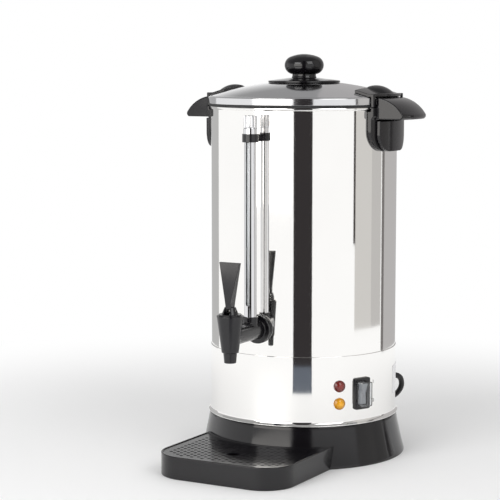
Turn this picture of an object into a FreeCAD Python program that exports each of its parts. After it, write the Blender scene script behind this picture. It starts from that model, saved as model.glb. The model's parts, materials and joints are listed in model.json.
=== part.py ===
"""Coffee urn: a ten litre hot-drink urn with a lever tap, sight gauge, lift-off lid and drip tray.

The table plane is z = 0 and the body's axis is the z axis. The tap points along -Y, the handles
along +X and -X. Lengths are in millimetres and angles in degrees.
"""
import FreeCAD, Part
import math
import os

import Sketcher

Vector = FreeCAD.Vector
Rotation = FreeCAD.Rotation
Placement = FreeCAD.Placement
X_AXIS, Y_AXIS, Z_AXIS = Vector(1, 0, 0), Vector(0, 1, 0), Vector(0, 0, 1)

# The driving dimensions. Each cell of the sheet holds one of them under its alias.
DIMENSIONS = {
    # the tank, its rim and its floor
    "body_radius": 112.5,
    "tank_wall": 0.8,
    "tank_lap": 7.3,
    "floor_rise": 9.7,
    "tank_depth": 282.3,
    "bead_drop": 6.3,
    "bead_depth": 4.5,
    "bead_reach": 2.0,
    "joint_gap": 0.3,
    "bolt_slack": 0.05,
    # the band round the electrics and the black base
    "band_wall": 0.8,
    "band_tall": 82.1,
    "band_low": 49.2,
    "band_slack": 0.1,
    "band_lip_reach": 2.6,
    "base_flare": 12.0,
    "base_step": 1.9,
    "base_skirt_edge": 1.5,
    "base_shoulder": 1.7,
    "base_flare_radius": 420.0,
    "base_wall": 5.0,
    "base_flange": 9.0,
    "base_plate_low": 3.2,
    "base_plate_thick": 1.2,
    "boss_inset": 13.0,
    "boss_radius": 6.5,
    "boss_height": 20.0,
    "screw_radius": 2.0,
    "screw_head_radius": 3.8,
    "screw_head_height": 2.0,
    "foot_radius": 9.0,
    "foot_inset": 34.5,
    "foot_stem_radius": 3.0,
    "rod_radius": 2.5,
    "rod_inset": 22.5,
    "nut_radius": 4.6,
    "nut_height": 2.2,
    # the heater under the floor
    "heater_radius": 74.0,
    "heater_thick": 6.0,
    "boil_coil_radius": 58.0,
    "boil_tube_radius": 4.0,
    "warm_coil_radius": 36.0,
    "warm_tube_radius": 3.0,
    "element_sweep": 310.0,
    "element_start": 115.0,
    "terminal_length": 12.0,
    "stat_radius": 8.0,
    "stat_height": 9.0,
    "stat_offset": 14.0,
    "block_long": 42.0,
    "block_wide": 18.0,
    "block_tall": 15.0,
    "block_away": 62.0,
    # the lid, its knob and its two lugs
    "lid_overhang": 3.2,
    "lid_sheet": 0.8,
    "lid_rim_depth": 7.4,
    "lid_shoulder": 3.2,
    "lid_dome_radius": 363.0,
    "lid_shoulder_rise": 1.93,
    "lid_skirt_depth": 7.0,
    "lid_skirt_slack": 0.8,
    "guard_radius": 43.5,
    "guard_edge": 2.4,
    "guard_cone": 3.4,
    "knob_neck_radius": 15.2,
    "knob_neck_height": 4.2,
    "knob_radius": 23.7,
    "knob_ball_height": 24.4,
    "knob_round": 11.0,
    "knob_bolt_radius": 3.0,
    "lug_half_width": 41.5,
    "lug_overhang": 2.6,
    "lug_depth": 24.5,
    "lug_thick": 3.4,
    "lug_leg_drop": 2.3,
    "lug_leg_width": 3.6,
    "lug_leg_thick": 3.9,
    "lug_bump_radius": 16.0,
    "lug_bump_rise": 2.6,
    "rivet_radius": 2.4,
    "rivet_offset": 24.0,
    # the side handles
    "handle_plate": 5.0,
    "handle_half_width": 42.0,
    "handle_tall": 51.4,
    "handle_drop": 2.9,
    "handle_corner": 24.0,
    "bracket_rise": 8.3,
    "bracket_gap": 3.9,
    "bracket_thick": 3.6,
    "grip_depth": 37.0,
    "grip_half_width": 34.0,
    "grip_tall": 25.2,
    "grip_lip_tall": 5.2,
    "grip_curve": 42.0,
    "grip_wall": 4.6,
    "cover_thick": 4.6,
    "cover_half_width": 34.0,
    "cover_tall": 36.0,
    "cover_corner": 20.0,
    "bolt_rise": 14.0,
    "bolt_spacing": 15.0,
    "handle_bolt_radius": 2.2,
    "handle_nut_radius": 4.4,
    "handle_nut_thick": 3.2,
    # the tap
    "tap_stand": 67.0,
    "tap_rise": 22.0,
    "tap_pipe_radius": 11.0,
    "tap_pipe_bore": 6.0,
    "tap_flange_radius": 17.0,
    "tap_flange_thick": 3.5,
    "tap_stub_radius": 10.0,
    "tap_stub_length": 22.0,
    "tap_hole_slack": 0.3,
    "washer_thick": 2.0,
    "tap_nut_radius": 16.0,
    "tap_nut_thick": 6.0,
    "cone_rise": 24.5,
    "cone_drop": 18.0,
    "cone_top_radius": 15.5,
    "cone_low_radius": 9.8,
    "cone_wall": 3.6,
    "nozzle_length": 12.0,
    "nozzle_top_radius": 8.0,
    "nozzle_low_radius": 6.9,
    "nozzle_bore": 4.5,
    "seat_rise": 5.0,
    "cup_radius": 6.0,
    "cup_height": 8.0,
    "stem_radius": 1.6,
    "stem_gap": 6.0,
    "bonnet_radius": 9.6,
    "bonnet_top_radius": 6.4,
    "bonnet_height": 9.5,
    "bonnet_flange": 1.6,
    "bonnet_wall": 1.8,
    "pivot_rise": 5.1,
    "lever_root_radius": 4.8,
    "waist_rise": 10.4,
    "lever_waist_width": 7.0,
    "lever_waist_depth": 12.0,
    "lever_length": 55.4,
    "lever_top_width": 26.7,
    "lever_top_depth": 3.6,
    "lever_slot": 4.2,
    "slot_slack": 0.4,
    "pin_radius": 1.5,
    # the sight gauge
    "gauge_stand": 20.0,
    "gauge_socket_radius": 9.0,
    "gauge_seat_rise": 17.0,
    "shield_radius": 7.2,
    "shield_wall": 0.7,
    "shield_seat": 3.0,
    "shield_slot": 5.0,
    "shield_slot_rise": 13.0,
    "collar_drop": 41.3,
    "collar_height": 9.4,
    "collar_radius": 9.5,
    "glass_radius": 4.8,
    "glass_wall": 1.0,
    "seal_thick": 2.0,
    "seal_radius": 5.6,
    "arm_half_width": 5.0,
    "arm_bolt_radius": 2.0,
    "cap_radius": 8.2,
    "cap_height": 21.2,
    "cap_ring": 6.0,
    "cap_spigot": 4.0,
    "flute_count": 12.0,
    "flute_depth": 0.9,
    "vent_radius": 1.4,
    # the control panel on the band
    "lamp_azimuth": 49.6,
    "boil_lamp_rise": 46.8,
    "warm_lamp_rise": 26.0,
    "lamp_radius": 7.0,
    "lamp_dome": 3.6,
    "lamp_flange": 1.2,
    "lamp_stem_radius": 5.2,
    "lamp_stem_length": 14.0,
    "lamp_nut_radius": 8.0,
    "lamp_nut_thick": 3.0,
    "switch_azimuth": 64.9,
    "switch_rise": 36.0,
    "bezel_wide": 22.4,
    "bezel_tall": 37.5,
    "bezel_thick": 2.6,
    "bezel_body_wide": 19.0,
    "bezel_body_tall": 31.0,
    "bezel_body_deep": 18.0,
    "rocker_wide": 11.6,
    "rocker_tall": 25.0,
    "rocker_slack": 0.9,
    "rocker_depth": 8.0,
    "rocker_tilt": 8.0,
    "rocker_crest": 3.2,
    "axle_radius": 1.5,
    "axle_drop": 2.0,
    "axle_reach": 1.6,
    "boot_wide": 15.3,
    "boot_tall": 29.0,
    "boot_rise": 8.4,
    "boot_wall": 0.8,
    "label_azimuth": 100.0,
    "label_sweep": 20.0,
    "label_rise": 24.8,
    "label_tall": 34.0,
    "label_thick": 0.3,
    # the drip tray and its grid
    "tray_height": 26.5,
    "tray_depth": 96.5,
    "tray_half_width": 84.5,
    "tray_corner": 38.0,
    "tray_gap": 0.6,
    "tray_rim": 2.6,
    "tray_ledge": 2.4,
    "tray_floor": 2.2,
    "grid_thick": 2.2,
    "grid_recess": 0.9,
    "grid_slack": 0.4,
    "grid_border": 8.0,
    "grid_hole_radius": 2.1,
    "grid_pitch": 8.0,
    "drain_radius": 8.0,
    "drain_stand": 47.5,
    # the mains lead
    "lead_azimuth": 153.0,
    "lead_rise": 26.3,
    "lead_radius": 3.5,
    "gland_flange_radius": 9.0,
    "gland_flange_thick": 3.0,
    "gland_root_radius": 6.4,
    "gland_tip_radius": 4.4,
    "gland_length": 20.0,
    "gland_inside": 8.0,
    "coil_centre_x": -86.0,
    "coil_centre_y": 165.0,
    "coil_inner": 29.0,
    "coil_pitch": 7.6,
    "coil_turns": 5.0,
    "coil_lift": 1.1,
    "coil_tail": 28.0,
    "tie_width": 8.0,
    "tie_thick": 0.8,
    "tie_angle": 225.0,
    "plug_long": 50.0,
    "plug_wide": 46.0,
    "plug_relief": 18.0,
    "plug_relief_radius": 6.0,
    "plug_corner": 9.0,
    "plug_pin_length": 17.7,
    "plug_pin_spread": 22.2,
    "plug_earth_offset": 22.2,
}

# The free lead's points from the gland's tip, before its coil. They are chosen by hand.
LEAD_POINTS = (
    (68.4, 134.2, 75.5),
    (69.9, 143.1, 62.7),
    (63.5, 147.2, 49.4),
    (48.2, 151.2, 38.6),
    (30.4, 163.8, 28.5),
    (6.0, 180.0, 19.0),
    (-13.0, 196.0, 10.5),
    (-31.0, 208.0, 5.6),
    (-55.0, 213.0, 4.6),
)


class Size:
    """A number together with the expression that gives it from the sheet."""

    def __init__(self, value, text):
        self.value = float(value)
        self.text = text

    def combine(self, other, sign, value):
        return Size(value, f"({self.text} {sign} {size_of(other).text})")

    def __add__(self, other):
        return self.combine(other, "+", self.value + size_of(other).value)

    def __radd__(self, other):
        return size_of(other) + self

    def __sub__(self, other):
        return self.combine(other, "-", self.value - size_of(other).value)

    def __rsub__(self, other):
        return size_of(other) - self

    def __mul__(self, other):
        return self.combine(other, "*", self.value * size_of(other).value)

    def __rmul__(self, other):
        return size_of(other) * self

    def __truediv__(self, other):
        return self.combine(other, "/", self.value / size_of(other).value)

    def __neg__(self):
        return Size(-self.value, f"(0 - {self.text})")

    def __float__(self):
        return self.value


def size_of(number):
    """A plain number as a Size; a Size stays as it is."""
    return number if isinstance(number, Size) else Size(number, repr(float(number)))


def root(size):
    """The square root of a Size."""
    return Size(math.sqrt(size.value), f"sqrt({size.text})")


doc = FreeCAD.newDocument("coffee_urn")
sheet = doc.addObject("Spreadsheet::Sheet", "Sizes")
for row, (alias, number) in enumerate(DIMENSIONS.items(), start=1):
    sheet.set(f"A{row}", alias.replace("_", " "))
    sheet.set(f"B{row}", str(number))
    sheet.setAlias(f"B{row}", alias)
doc.recompute()


class Sheet:
    """Gives each alias of the sheet as a Size."""

    def __getattr__(self, alias):
        return Size(getattr(sheet, alias), f"Sizes.{alias}")


s = Sheet()
parts = {}


def keep(label, obj):
    """Give a finished sub-part its label and put it on the list of pieces."""
    obj.Label = label
    parts[label] = obj
    return obj


def bind(obj, **sizes):
    """Bind an object's properties to the sheet."""
    for name, size in sizes.items():
        obj.setExpression(name, size_of(size).text)
    return obj


def place(obj, at=(0, 0, 0), turn=None):
    """Put an object at a point, turned by a rotation."""
    obj.Placement = Placement(Vector(*[float(v) for v in at]), turn or Rotation())
    return obj


def radial(azimuth, rise=0.0):
    """The rotation that points local Z outwards at an azimuth from -Y, with local Y upwards."""
    angle = math.radians(float(azimuth))
    side = Vector(math.cos(angle), math.sin(angle), 0)
    out = Vector(math.sin(angle), -math.cos(angle), 0)
    turn = Rotation(side, Z_AXIS, out, "ZXY")
    return turn * Rotation(X_AXIS, rise)


def out_at(azimuth, radius, height):
    """The point at a radius and a height on an azimuth from -Y."""
    angle = math.radians(float(azimuth))
    return (float(radius) * math.sin(angle), -float(radius) * math.cos(angle), float(height))


class Outline:
    """A closed outline of lines and arcs whose corners and radii are Sizes."""

    def __init__(self, x, y):
        self.points = [(size_of(x), size_of(y))]
        self.curves = []

    def line(self, x, y):
        self.points.append((size_of(x), size_of(y)))
        self.curves.append(None)
        return self

    def arc(self, x, y, radius, left):
        """An arc of less than half a turn that bends to the left or to the right."""
        self.points.append((size_of(x), size_of(y)))
        self.curves.append((size_of(radius), left))
        return self

    def close(self):
        self.curves.append(None)
        return self

    def join(self):
        """End an outline whose last point is its first."""
        self.points.pop()
        return self

    def draw(self, sketch):
        """Draw the outline, then hold each corner and radius with a bound constraint."""
        count = len(self.curves)
        ends = []
        for i, curve in enumerate(self.curves):
            a, b = (Vector(float(x), float(y), 0) for x, y in (self.points[i], self.points[(i + 1) % count]))
            if curve is None:
                ends.append((sketch.addGeometry(Part.LineSegment(a, b)), 1, 2))
                continue
            radius, left = float(curve[0]), curve[1]
            chord = b - a
            side = Vector(-chord.y, chord.x, 0).normalize() * (1 if left else -1)
            rise = math.sqrt(max(radius**2 - (chord.Length / 2) ** 2, 0.0))
            centre = (a + b) * 0.5 + side * rise
            start, stop = (a, b) if left else (b, a)
            angles = [math.atan2(p.y - centre.y, p.x - centre.x) for p in (start, stop)]
            circle = Part.Circle(centre, Z_AXIS, radius)
            index = sketch.addGeometry(Part.ArcOfCircle(circle, angles[0], angles[1]))
            ends.append((index, 1, 2) if left else (index, 2, 1))
        for i, curve in enumerate(self.curves):
            following = ends[(i + 1) % count]
            sketch.addConstraint(
                Sketcher.Constraint("Coincident", ends[i][0], ends[i][2], following[0], following[1])
            )
        for i, curve in enumerate(self.curves):
            for kind, size in zip(("DistanceX", "DistanceY"), self.points[i]):
                index = sketch.addConstraint(
                    Sketcher.Constraint(kind, -1, 1, ends[i][0], ends[i][1], float(size))
                )
                sketch.setExpression(f"Constraints[{index}]", size.text)
            if curve is not None:
                index = sketch.addConstraint(Sketcher.Constraint("Radius", ends[i][0], float(curve[0])))
                sketch.setExpression(f"Constraints[{index}]", curve[0].text)
        return sketch


def rectangle(x_low, x_high, y_low, y_high):
    """A rectangular outline."""
    return Outline(x_low, y_low).line(x_high, y_low).line(x_high, y_high).line(x_low, y_high).close()


def rounded(half_x, half_y, corner):
    """A rectangle about the origin with round corners."""
    half_x, half_y, corner = size_of(half_x), size_of(half_y), size_of(corner)
    x, y = half_x - corner, half_y - corner
    return (
        Outline(-x, -half_y)
        .line(x, -half_y).arc(half_x, -y, corner, True)
        .line(half_x, y).arc(x, half_y, corner, True)
        .line(-x, half_y).arc(-half_x, y, corner, True)
        .line(-half_x, -y).arc(-x, -half_y, corner, True)
        .join()
    )


def sketch_on(body, role, outline):
    """A sketch of an outline on one of a body's origin planes."""
    sketch = body.newObject("Sketcher::SketchObject", f"{body.Name}_sketch")
    plane = [item for item in body.Origin.OriginFeatures if item.Role == role][0]
    sketch.AttachmentSupport = (plane, [""])
    sketch.MapMode = "FlatFace"
    outline.draw(sketch)
    return sketch


def turned(name, outline, sweep=None):
    """A body turned about the z axis from an outline of radius and height."""
    body = doc.addObject("PartDesign::Body", name)
    sketch = sketch_on(body, "XZ_Plane", outline)
    feature = body.newObject("PartDesign::Revolution", f"{name}_turn")
    feature.Profile = sketch
    feature.ReferenceAxis = (sketch, ["V_Axis"])
    feature.Angle = 360.0
    if sweep is not None:
        bind(feature, Angle=sweep)
    return body


def padded(name, role, outline, length, middle=False, flip=False):
    """A body pulled out from an outline on an origin plane."""
    body = doc.addObject("PartDesign::Body", name)
    feature = body.newObject("PartDesign::Pad", f"{name}_pad")
    feature.Profile = sketch_on(body, role, outline)
    if middle:
        feature.SideType = "Symmetric"
    feature.Reversed = flip
    bind(feature, Length=length)
    return body


def cylinder(name, radius, height, at=(0, 0, 0), turn=None):
    """A plain cylinder standing on a point."""
    obj = doc.addObject("Part::Cylinder", name)
    bind(obj, Radius=radius, Height=height)
    return place(obj, at, turn)


def cone(name, low_radius, top_radius, height, at=(0, 0, 0), turn=None):
    """A plain cone standing on a point."""
    obj = doc.addObject("Part::Cone", name)
    bind(obj, Radius1=low_radius, Radius2=top_radius, Height=height)
    return place(obj, at, turn)


def ball(name, radius, at=(0, 0, 0)):
    """A sphere round a point, with its poles and its seam level with that point."""
    obj = doc.addObject("Part::Sphere", name)
    bind(obj, Radius=radius)
    return place(obj, at, Rotation(Vector(1, 0, 0), 90))


def block(name, long, wide, tall, at=(0, 0, 0)):
    """A box centred over a point in x and y, standing on it."""
    obj = doc.addObject("Part::Box", name)
    bind(obj, Length=long, Width=wide, Height=tall)
    x, y, z = (float(v) for v in at)
    return place(obj, (x - float(long) / 2, y - float(wide) / 2, z))


def group(name, kind, items):
    """A boolean or a compound of several objects."""
    obj = doc.addObject(kind, name)
    if kind == "Part::Compound":
        obj.Links = items
    else:
        obj.Shapes = items
    return obj


def fuse(name, *items):
    return group(name, "Part::MultiFuse", list(items))


def common(name, *items):
    return group(name, "Part::MultiCommon", list(items))


def together(name, *items):
    return group(name, "Part::Compound", list(items))


def cut(name, base, *tools):
    """A base with one or more tools cut away."""
    obj = doc.addObject("Part::Cut", name)
    obj.Base = base
    obj.Tool = tools[0] if len(tools) == 1 else together(f"{name}_tools", *tools)
    return obj


def ring_points(count, orbit, start=0.0):
    """Points spread evenly on a circle."""
    for i in range(count):
        angle = math.radians(start + 360.0 * i / count)
        yield float(orbit) * math.cos(angle), float(orbit) * math.sin(angle)


FORWARD = Rotation(X_AXIS, 90)
BACKWARD = Rotation(X_AXIS, -90)
ALONG_X = Rotation(Y_AXIS, 90)
HALF_TURN = Rotation(Z_AXIS, 180)

# Heights and radii that follow from the sizes, so that what seats on a piece moves with it
band_top = s.band_low + s.band_tall
tank_low = band_top - s.tank_lap
tank_floor = band_top + s.floor_rise
rim_height = tank_floor + s.tank_depth
bead_low = rim_height - s.bead_drop
base_foot_radius = s.body_radius + s.base_flare
base_top_radius = s.body_radius + s.base_step
boss_orbit = base_foot_radius - s.boss_inset
foot_orbit = base_foot_radius - s.foot_inset
rod_orbit = s.body_radius - s.rod_inset
lid_rim_radius = s.body_radius + s.lid_overhang
lug_reach = lid_rim_radius + s.lug_overhang
lug_leg_reach = lid_rim_radius + s.lug_leg_thick
lug_inner = s.body_radius - s.lug_depth
lug_leg_low = rim_height - s.lug_leg_drop
bracket_inner = s.body_radius + s.bracket_gap
bracket_outer = bracket_inner + s.bracket_thick
bracket_top = rim_height + s.bracket_rise
handle_top = rim_height - s.handle_drop
handle_low = handle_top - s.handle_tall
grip_reach = s.body_radius + s.grip_depth
grip_low = bracket_top - s.grip_tall
grip_lip = grip_low + s.grip_lip_tall
cover_top = handle_low + s.cover_tall
handle_bolt_low = handle_low + s.bolt_rise
handle_bolt_high = handle_bolt_low + s.bolt_spacing
tap_reach = s.body_radius + s.tap_stand
tap_height = tank_floor + s.tap_rise
cone_top = tap_height + s.cone_rise
cone_low = tap_height - s.cone_drop
nozzle_low = cone_low - s.nozzle_length
seat_height = cone_low + s.seat_rise
bonnet_top = cone_top + s.bonnet_height
lever_pivot = cone_top + s.pivot_rise
stem_top = lever_pivot - s.stem_gap
lever_waist = lever_pivot + s.waist_rise
lever_top = lever_pivot + s.lever_length
gauge_offset = s.body_radius + s.gauge_stand
gauge_socket_top = tap_height + s.gauge_seat_rise
shield_slot_low = gauge_socket_top + s.shield_slot_rise
collar_low = rim_height - s.collar_drop
boil_lamp_height = s.band_low + s.boil_lamp_rise
warm_lamp_height = s.band_low + s.warm_lamp_rise
switch_height = s.band_low + s.switch_rise
label_low = s.band_low + s.label_rise
label_high = label_low + s.label_tall
tray_front = base_foot_radius + s.tray_depth
drain_offset = base_foot_radius + s.drain_stand
lead_height = s.band_low + s.lead_rise

# The tank: a single polished wall with a rolled bead under its rim and a floor above the heater
tank_inner = s.body_radius - s.tank_wall
floor_low = tank_floor - s.tank_wall
bead_half = s.bead_depth / 2
bead_curve = (bead_half * bead_half + s.bead_reach * s.bead_reach) / (2 * s.bead_reach)
tank_shell = turned(
    "tank_shell",
    Outline(0, floor_low)
    .line(tank_inner, floor_low).line(tank_inner, tank_low).line(s.body_radius, tank_low)
    .line(s.body_radius, bead_low).arc(s.body_radius, bead_low + s.bead_depth, bead_curve, True)
    .line(s.body_radius, rim_height).line(tank_inner, rim_height)
    .line(tank_inner, tank_floor).line(0, tank_floor).close(),
)
WALL_REACH = 8.0
handle_bolt_heights = (handle_bolt_low, handle_bolt_high)
arm_height = collar_low + s.collar_height / 2
tap_hole = cylinder(
    "tap_hole", s.tap_stub_radius + s.tap_hole_slack, 2 * WALL_REACH,
    (0, -s.body_radius - WALL_REACH, tap_height), BACKWARD,
)
arm_hole = cylinder(
    "arm_hole", s.arm_bolt_radius + s.bolt_slack, 2 * WALL_REACH,
    (0, -s.body_radius - WALL_REACH, arm_height), BACKWARD,
)
handle_holes = [
    cylinder(
        f"handle_hole_{i}", s.handle_bolt_radius + s.bolt_slack, 2 * (s.body_radius + WALL_REACH),
        (-s.body_radius - WALL_REACH, 0, height), ALONG_X,
    )
    for i, height in enumerate(handle_bolt_heights)
]
keep("tank", cut("tank_cut", tank_shell, tap_hole, arm_hole, *handle_holes))

# The band round the electrics, with the openings for the lamps, the switch and the lead
band_inner = s.body_radius + s.band_slack
band_outer = band_inner + s.band_wall
lip_radius = band_outer + s.band_lip_reach
band_shell = turned(
    "band_shell",
    Outline(band_inner, s.band_low)
    .line(lip_radius, s.band_low).line(lip_radius, s.band_low + s.band_wall)
    .line(band_outer, s.band_low + s.band_wall + s.band_lip_reach).line(band_outer, band_top)
    .line(band_inner, band_top).close(),
)
LAMP_HEIGHTS = {"boil_lamp": boil_lamp_height, "warm_lamp": warm_lamp_height}
lamp_holes = [
    cylinder(
        f"{name}_hole", s.lamp_stem_radius + s.joint_gap, 2 * WALL_REACH,
        out_at(s.lamp_azimuth, band_inner - WALL_REACH, height), radial(s.lamp_azimuth),
    )
    for name, height in LAMP_HEIGHTS.items()
]
switch_frame = Placement(
    Vector(*out_at(s.switch_azimuth, band_outer, switch_height)), radial(s.switch_azimuth)
)
switch_hole = padded(
    "switch_hole", "XY_Plane",
    rectangle(
        -s.bezel_body_wide / 2 - s.joint_gap, s.bezel_body_wide / 2 + s.joint_gap,
        -s.bezel_body_tall / 2 - s.joint_gap, s.bezel_body_tall / 2 + s.joint_gap,
    ),
    2 * WALL_REACH, middle=True,
)
switch_hole.Placement = switch_frame
gland_hole = cylinder(
    "gland_hole", s.gland_root_radius + s.joint_gap, 2 * WALL_REACH,
    out_at(s.lead_azimuth, band_inner - WALL_REACH, lead_height), radial(s.lead_azimuth),
)
keep("skirt_band", cut("band_cut", band_shell, *lamp_holes, switch_hole, gland_hole))

# The black base: a flared ring with screw bosses, closed from below by a steel plate on rubber feet
foot_inner = base_foot_radius - s.base_wall
flange_inner = base_top_radius - s.base_wall
plate_top = s.base_plate_low + s.base_plate_thick
base_shell = turned(
    "base_shell",
    Outline(foot_inner, 0)
    .line(base_foot_radius, 0).line(base_foot_radius, s.base_skirt_edge)
    .arc(base_top_radius, s.band_low - s.base_shoulder, s.base_flare_radius, False)
    .line(base_top_radius - s.base_shoulder / 2, s.band_low).line(flange_inner, s.band_low)
    .line(flange_inner, s.band_low - s.base_flange).line(foot_inner, s.base_plate_low).close(),
)
BOSS_START, ROD_START, FOOT_START = 90.0, 0.0, 45.0
boss_spots = list(ring_points(3, boss_orbit, BOSS_START))
rod_spots = list(ring_points(3, rod_orbit, ROD_START))
foot_spots = list(ring_points(4, foot_orbit, FOOT_START))
bosses = [
    cylinder(f"boss_{i}", s.boss_radius, s.boss_height, (x, y, plate_top))
    for i, (x, y) in enumerate(boss_spots)
]
screw_depth = s.boss_height * 0.6
boss_holes = [
    cylinder(f"boss_hole_{i}", s.screw_radius + s.bolt_slack, screw_depth + s.joint_gap, (x, y, plate_top))
    for i, (x, y) in enumerate(boss_spots)
]
keep("base_ring", cut("base_cut", fuse("base_solid", base_shell, *bosses), *boss_holes))

plate_disc = cylinder("plate_disc", foot_inner - s.joint_gap - 0.5, s.base_plate_thick, (0, 0, s.base_plate_low))
plate_holes = [
    cylinder(f"plate_hole_{i}", radius + s.bolt_slack, 3 * s.base_plate_thick, (x, y, s.base_plate_low - 1))
    for i, (radius, (x, y)) in enumerate(
        [(s.screw_radius, spot) for spot in boss_spots]
        + [(s.rod_radius, spot) for spot in rod_spots]
        + [(s.foot_stem_radius, spot) for spot in foot_spots]
    )
]
keep("base_plate", cut("plate_cut", plate_disc, *plate_holes))
keep("base_screws", together("screw_set", *[
    fuse(
        f"screw_{i}",
        cylinder(f"screw_head_{i}", s.screw_head_radius, s.screw_head_height,
                 (x, y, s.base_plate_low - s.screw_head_height)),
        cylinder(f"screw_shank_{i}", s.screw_radius, s.base_plate_thick + screw_depth,
                 (x, y, s.base_plate_low)),
    )
    for i, (x, y) in enumerate(boss_spots)
]))
keep("base_feet", together("foot_set", *[
    fuse(
        f"foot_{i}",
        cylinder(f"foot_pad_{i}", s.foot_radius, s.base_plate_low, (x, y, 0)),
        cylinder(f"foot_stem_{i}", s.foot_stem_radius, 2 * s.base_plate_thick, (x, y, s.base_plate_low)),
    )
    for i, (x, y) in enumerate(foot_spots)
]))
rod_low = s.base_plate_low - s.nut_height
keep("tie_rods", together("rod_set", *[
    cylinder(f"rod_{i}", s.rod_radius, floor_low - rod_low, (x, y, rod_low))
    for i, (x, y) in enumerate(rod_spots)
]))


def hexagon(name, radius, height, at, turn=None):
    """A plain six-sided prism standing on a point."""
    obj = doc.addObject("Part::Prism", name)
    obj.Polygon = 6
    bind(obj, Circumradius=radius, Height=height)
    return place(obj, at, turn)


keep("rod_nuts", together("rod_nut_set", *[
    cut(
        f"rod_nut_{i}",
        hexagon(f"rod_nut_body_{i}", s.nut_radius, s.nut_height, (x, y, rod_low)),
        cylinder(f"rod_nut_bore_{i}", s.rod_radius + s.bolt_slack, s.nut_height, (x, y, rod_low)),
    )
    for i, (x, y) in enumerate(rod_spots)
]))

# The heater under the floor: a plate, two sheathed elements, two disc thermostats and the terminals
heater_low = floor_low - s.heater_thick
keep("heater_plate", cylinder("heater_disc", s.heater_radius, s.heater_thick, (0, 0, heater_low)))


def element(name, orbit, tube, start):
    """A sheathed element bent into an open ring, with a terminal below each end."""
    middle = heater_low - tube - s.bolt_slack
    ring = doc.addObject("Part::Torus", f"{name}_ring")
    bind(ring, Radius1=orbit, Radius2=tube, Angle3=s.element_sweep)
    place(ring, (0, 0, middle), Rotation(Z_AXIS, start))
    posts = []
    for i, angle in enumerate((start, start + float(s.element_sweep))):
        spin = math.radians(angle)
        spot = (float(orbit) * math.cos(spin), float(orbit) * math.sin(spin), middle - s.terminal_length)
        posts.append(cylinder(f"{name}_post_{i}", tube, s.terminal_length, spot))
    return keep(name, fuse(f"{name}_solid", ring, *posts))


element("boil_element", s.boil_coil_radius, s.boil_tube_radius, float(s.element_start))
element("keep_warm_element", s.warm_coil_radius, s.warm_tube_radius, float(s.element_start))
for name, side in (("boil_thermostat", 1), ("safety_cutout", -1)):
    cap_height = s.stat_height / 2
    keep(name, fuse(
        f"{name}_solid",
        cylinder(f"{name}_cup", s.stat_radius, cap_height, (0, side * s.stat_offset, heater_low - cap_height)),
        cylinder(f"{name}_body", s.stat_radius * 0.8, s.stat_height,
                 (0, side * s.stat_offset, heater_low - cap_height - s.stat_height)),
    ))
terminal_body = block(
    "terminal_body", s.block_long, s.block_wide, s.block_tall, (0, s.block_away, plate_top)
)
terminal_wells = [
    cylinder(f"terminal_well_{i}", s.block_wide / 6, s.block_tall,
             (s.block_long * (i - 1.5) / 4, s.block_away, plate_top + s.block_tall / 2))
    for i in range(4)
]
keep("terminal_block", cut("terminal_cut", terminal_body, *terminal_wells))

# The lid: one pressed sheet with a deep rim, a seating flange and a skirt that drops into the tank
rim_low = rim_height + s.joint_gap
rim_top = rim_low + s.lid_rim_depth
shoulder = lid_rim_radius - s.lid_shoulder
skirt_outer = tank_inner - s.lid_skirt_slack
skirt_inner = skirt_outer - s.lid_sheet
dome_centre = rim_top + s.lid_shoulder_rise - root(s.lid_dome_radius * s.lid_dome_radius - shoulder * shoulder)
lid_crown = dome_centre + s.lid_dome_radius
bolt_hole = s.knob_bolt_radius + s.bolt_slack


def dome(radius, depth=0):
    """The height of the lid's dome at a radius, some way below its outer face."""
    ball = s.lid_dome_radius - depth
    return dome_centre + root(ball * ball - size_of(radius) * size_of(radius))


lid_sheet = turned(
    "lid_sheet",
    Outline(lid_rim_radius, rim_low)
    .line(lid_rim_radius, rim_top).arc(shoulder, dome(shoulder), s.lid_shoulder, True)
    .arc(bolt_hole, dome(bolt_hole), s.lid_dome_radius, True)
    .line(bolt_hole, dome(bolt_hole, s.lid_sheet))
    .arc(shoulder, dome(shoulder, s.lid_sheet), s.lid_dome_radius - s.lid_sheet, False)
    .arc(lid_rim_radius - s.lid_sheet, rim_top, s.lid_shoulder - s.lid_sheet, False)
    .line(lid_rim_radius - s.lid_sheet, rim_low + s.lid_sheet)
    .line(skirt_inner, rim_low + s.lid_sheet).line(skirt_inner, rim_low - s.lid_skirt_depth)
    .line(skirt_outer, rim_low - s.lid_skirt_depth).line(skirt_outer, rim_low).close(),
)
lug_x = lug_inner + s.lug_bump_radius * 0.75
rivet_spots = [(side * lug_x, turn * s.rivet_offset) for side in (1, -1) for turn in (1, -1)]
rivet_out = root(lug_x * lug_x + s.rivet_offset * s.rivet_offset)
rivet_low = dome(rivet_out + 2 * s.rivet_radius, s.lid_sheet) - s.joint_gap
rivet_height = dome(rivet_out) + s.lug_thick * 0.6 - rivet_low
rivet_holes = [
    cylinder(f"rivet_hole_{i}", s.rivet_radius + s.bolt_slack, rivet_height, (x, y, rivet_low))
    for i, (x, y) in enumerate(rivet_spots)
]
keep("lid_shell", cut("lid_cut", lid_sheet, *rivet_holes))
keep("lug_rivets", together("rivet_set", *[
    fuse(
        f"rivet_{i}",
        cylinder(f"rivet_shank_{i}", s.rivet_radius, rivet_height - s.bolt_slack, (x, y, rivet_low)),
        cylinder(f"rivet_head_{i}", 2 * s.rivet_radius, s.rivet_radius / 2, (x, y, rivet_low - s.rivet_radius / 2)),
    )
    for i, (x, y) in enumerate(rivet_spots)
]))

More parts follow.
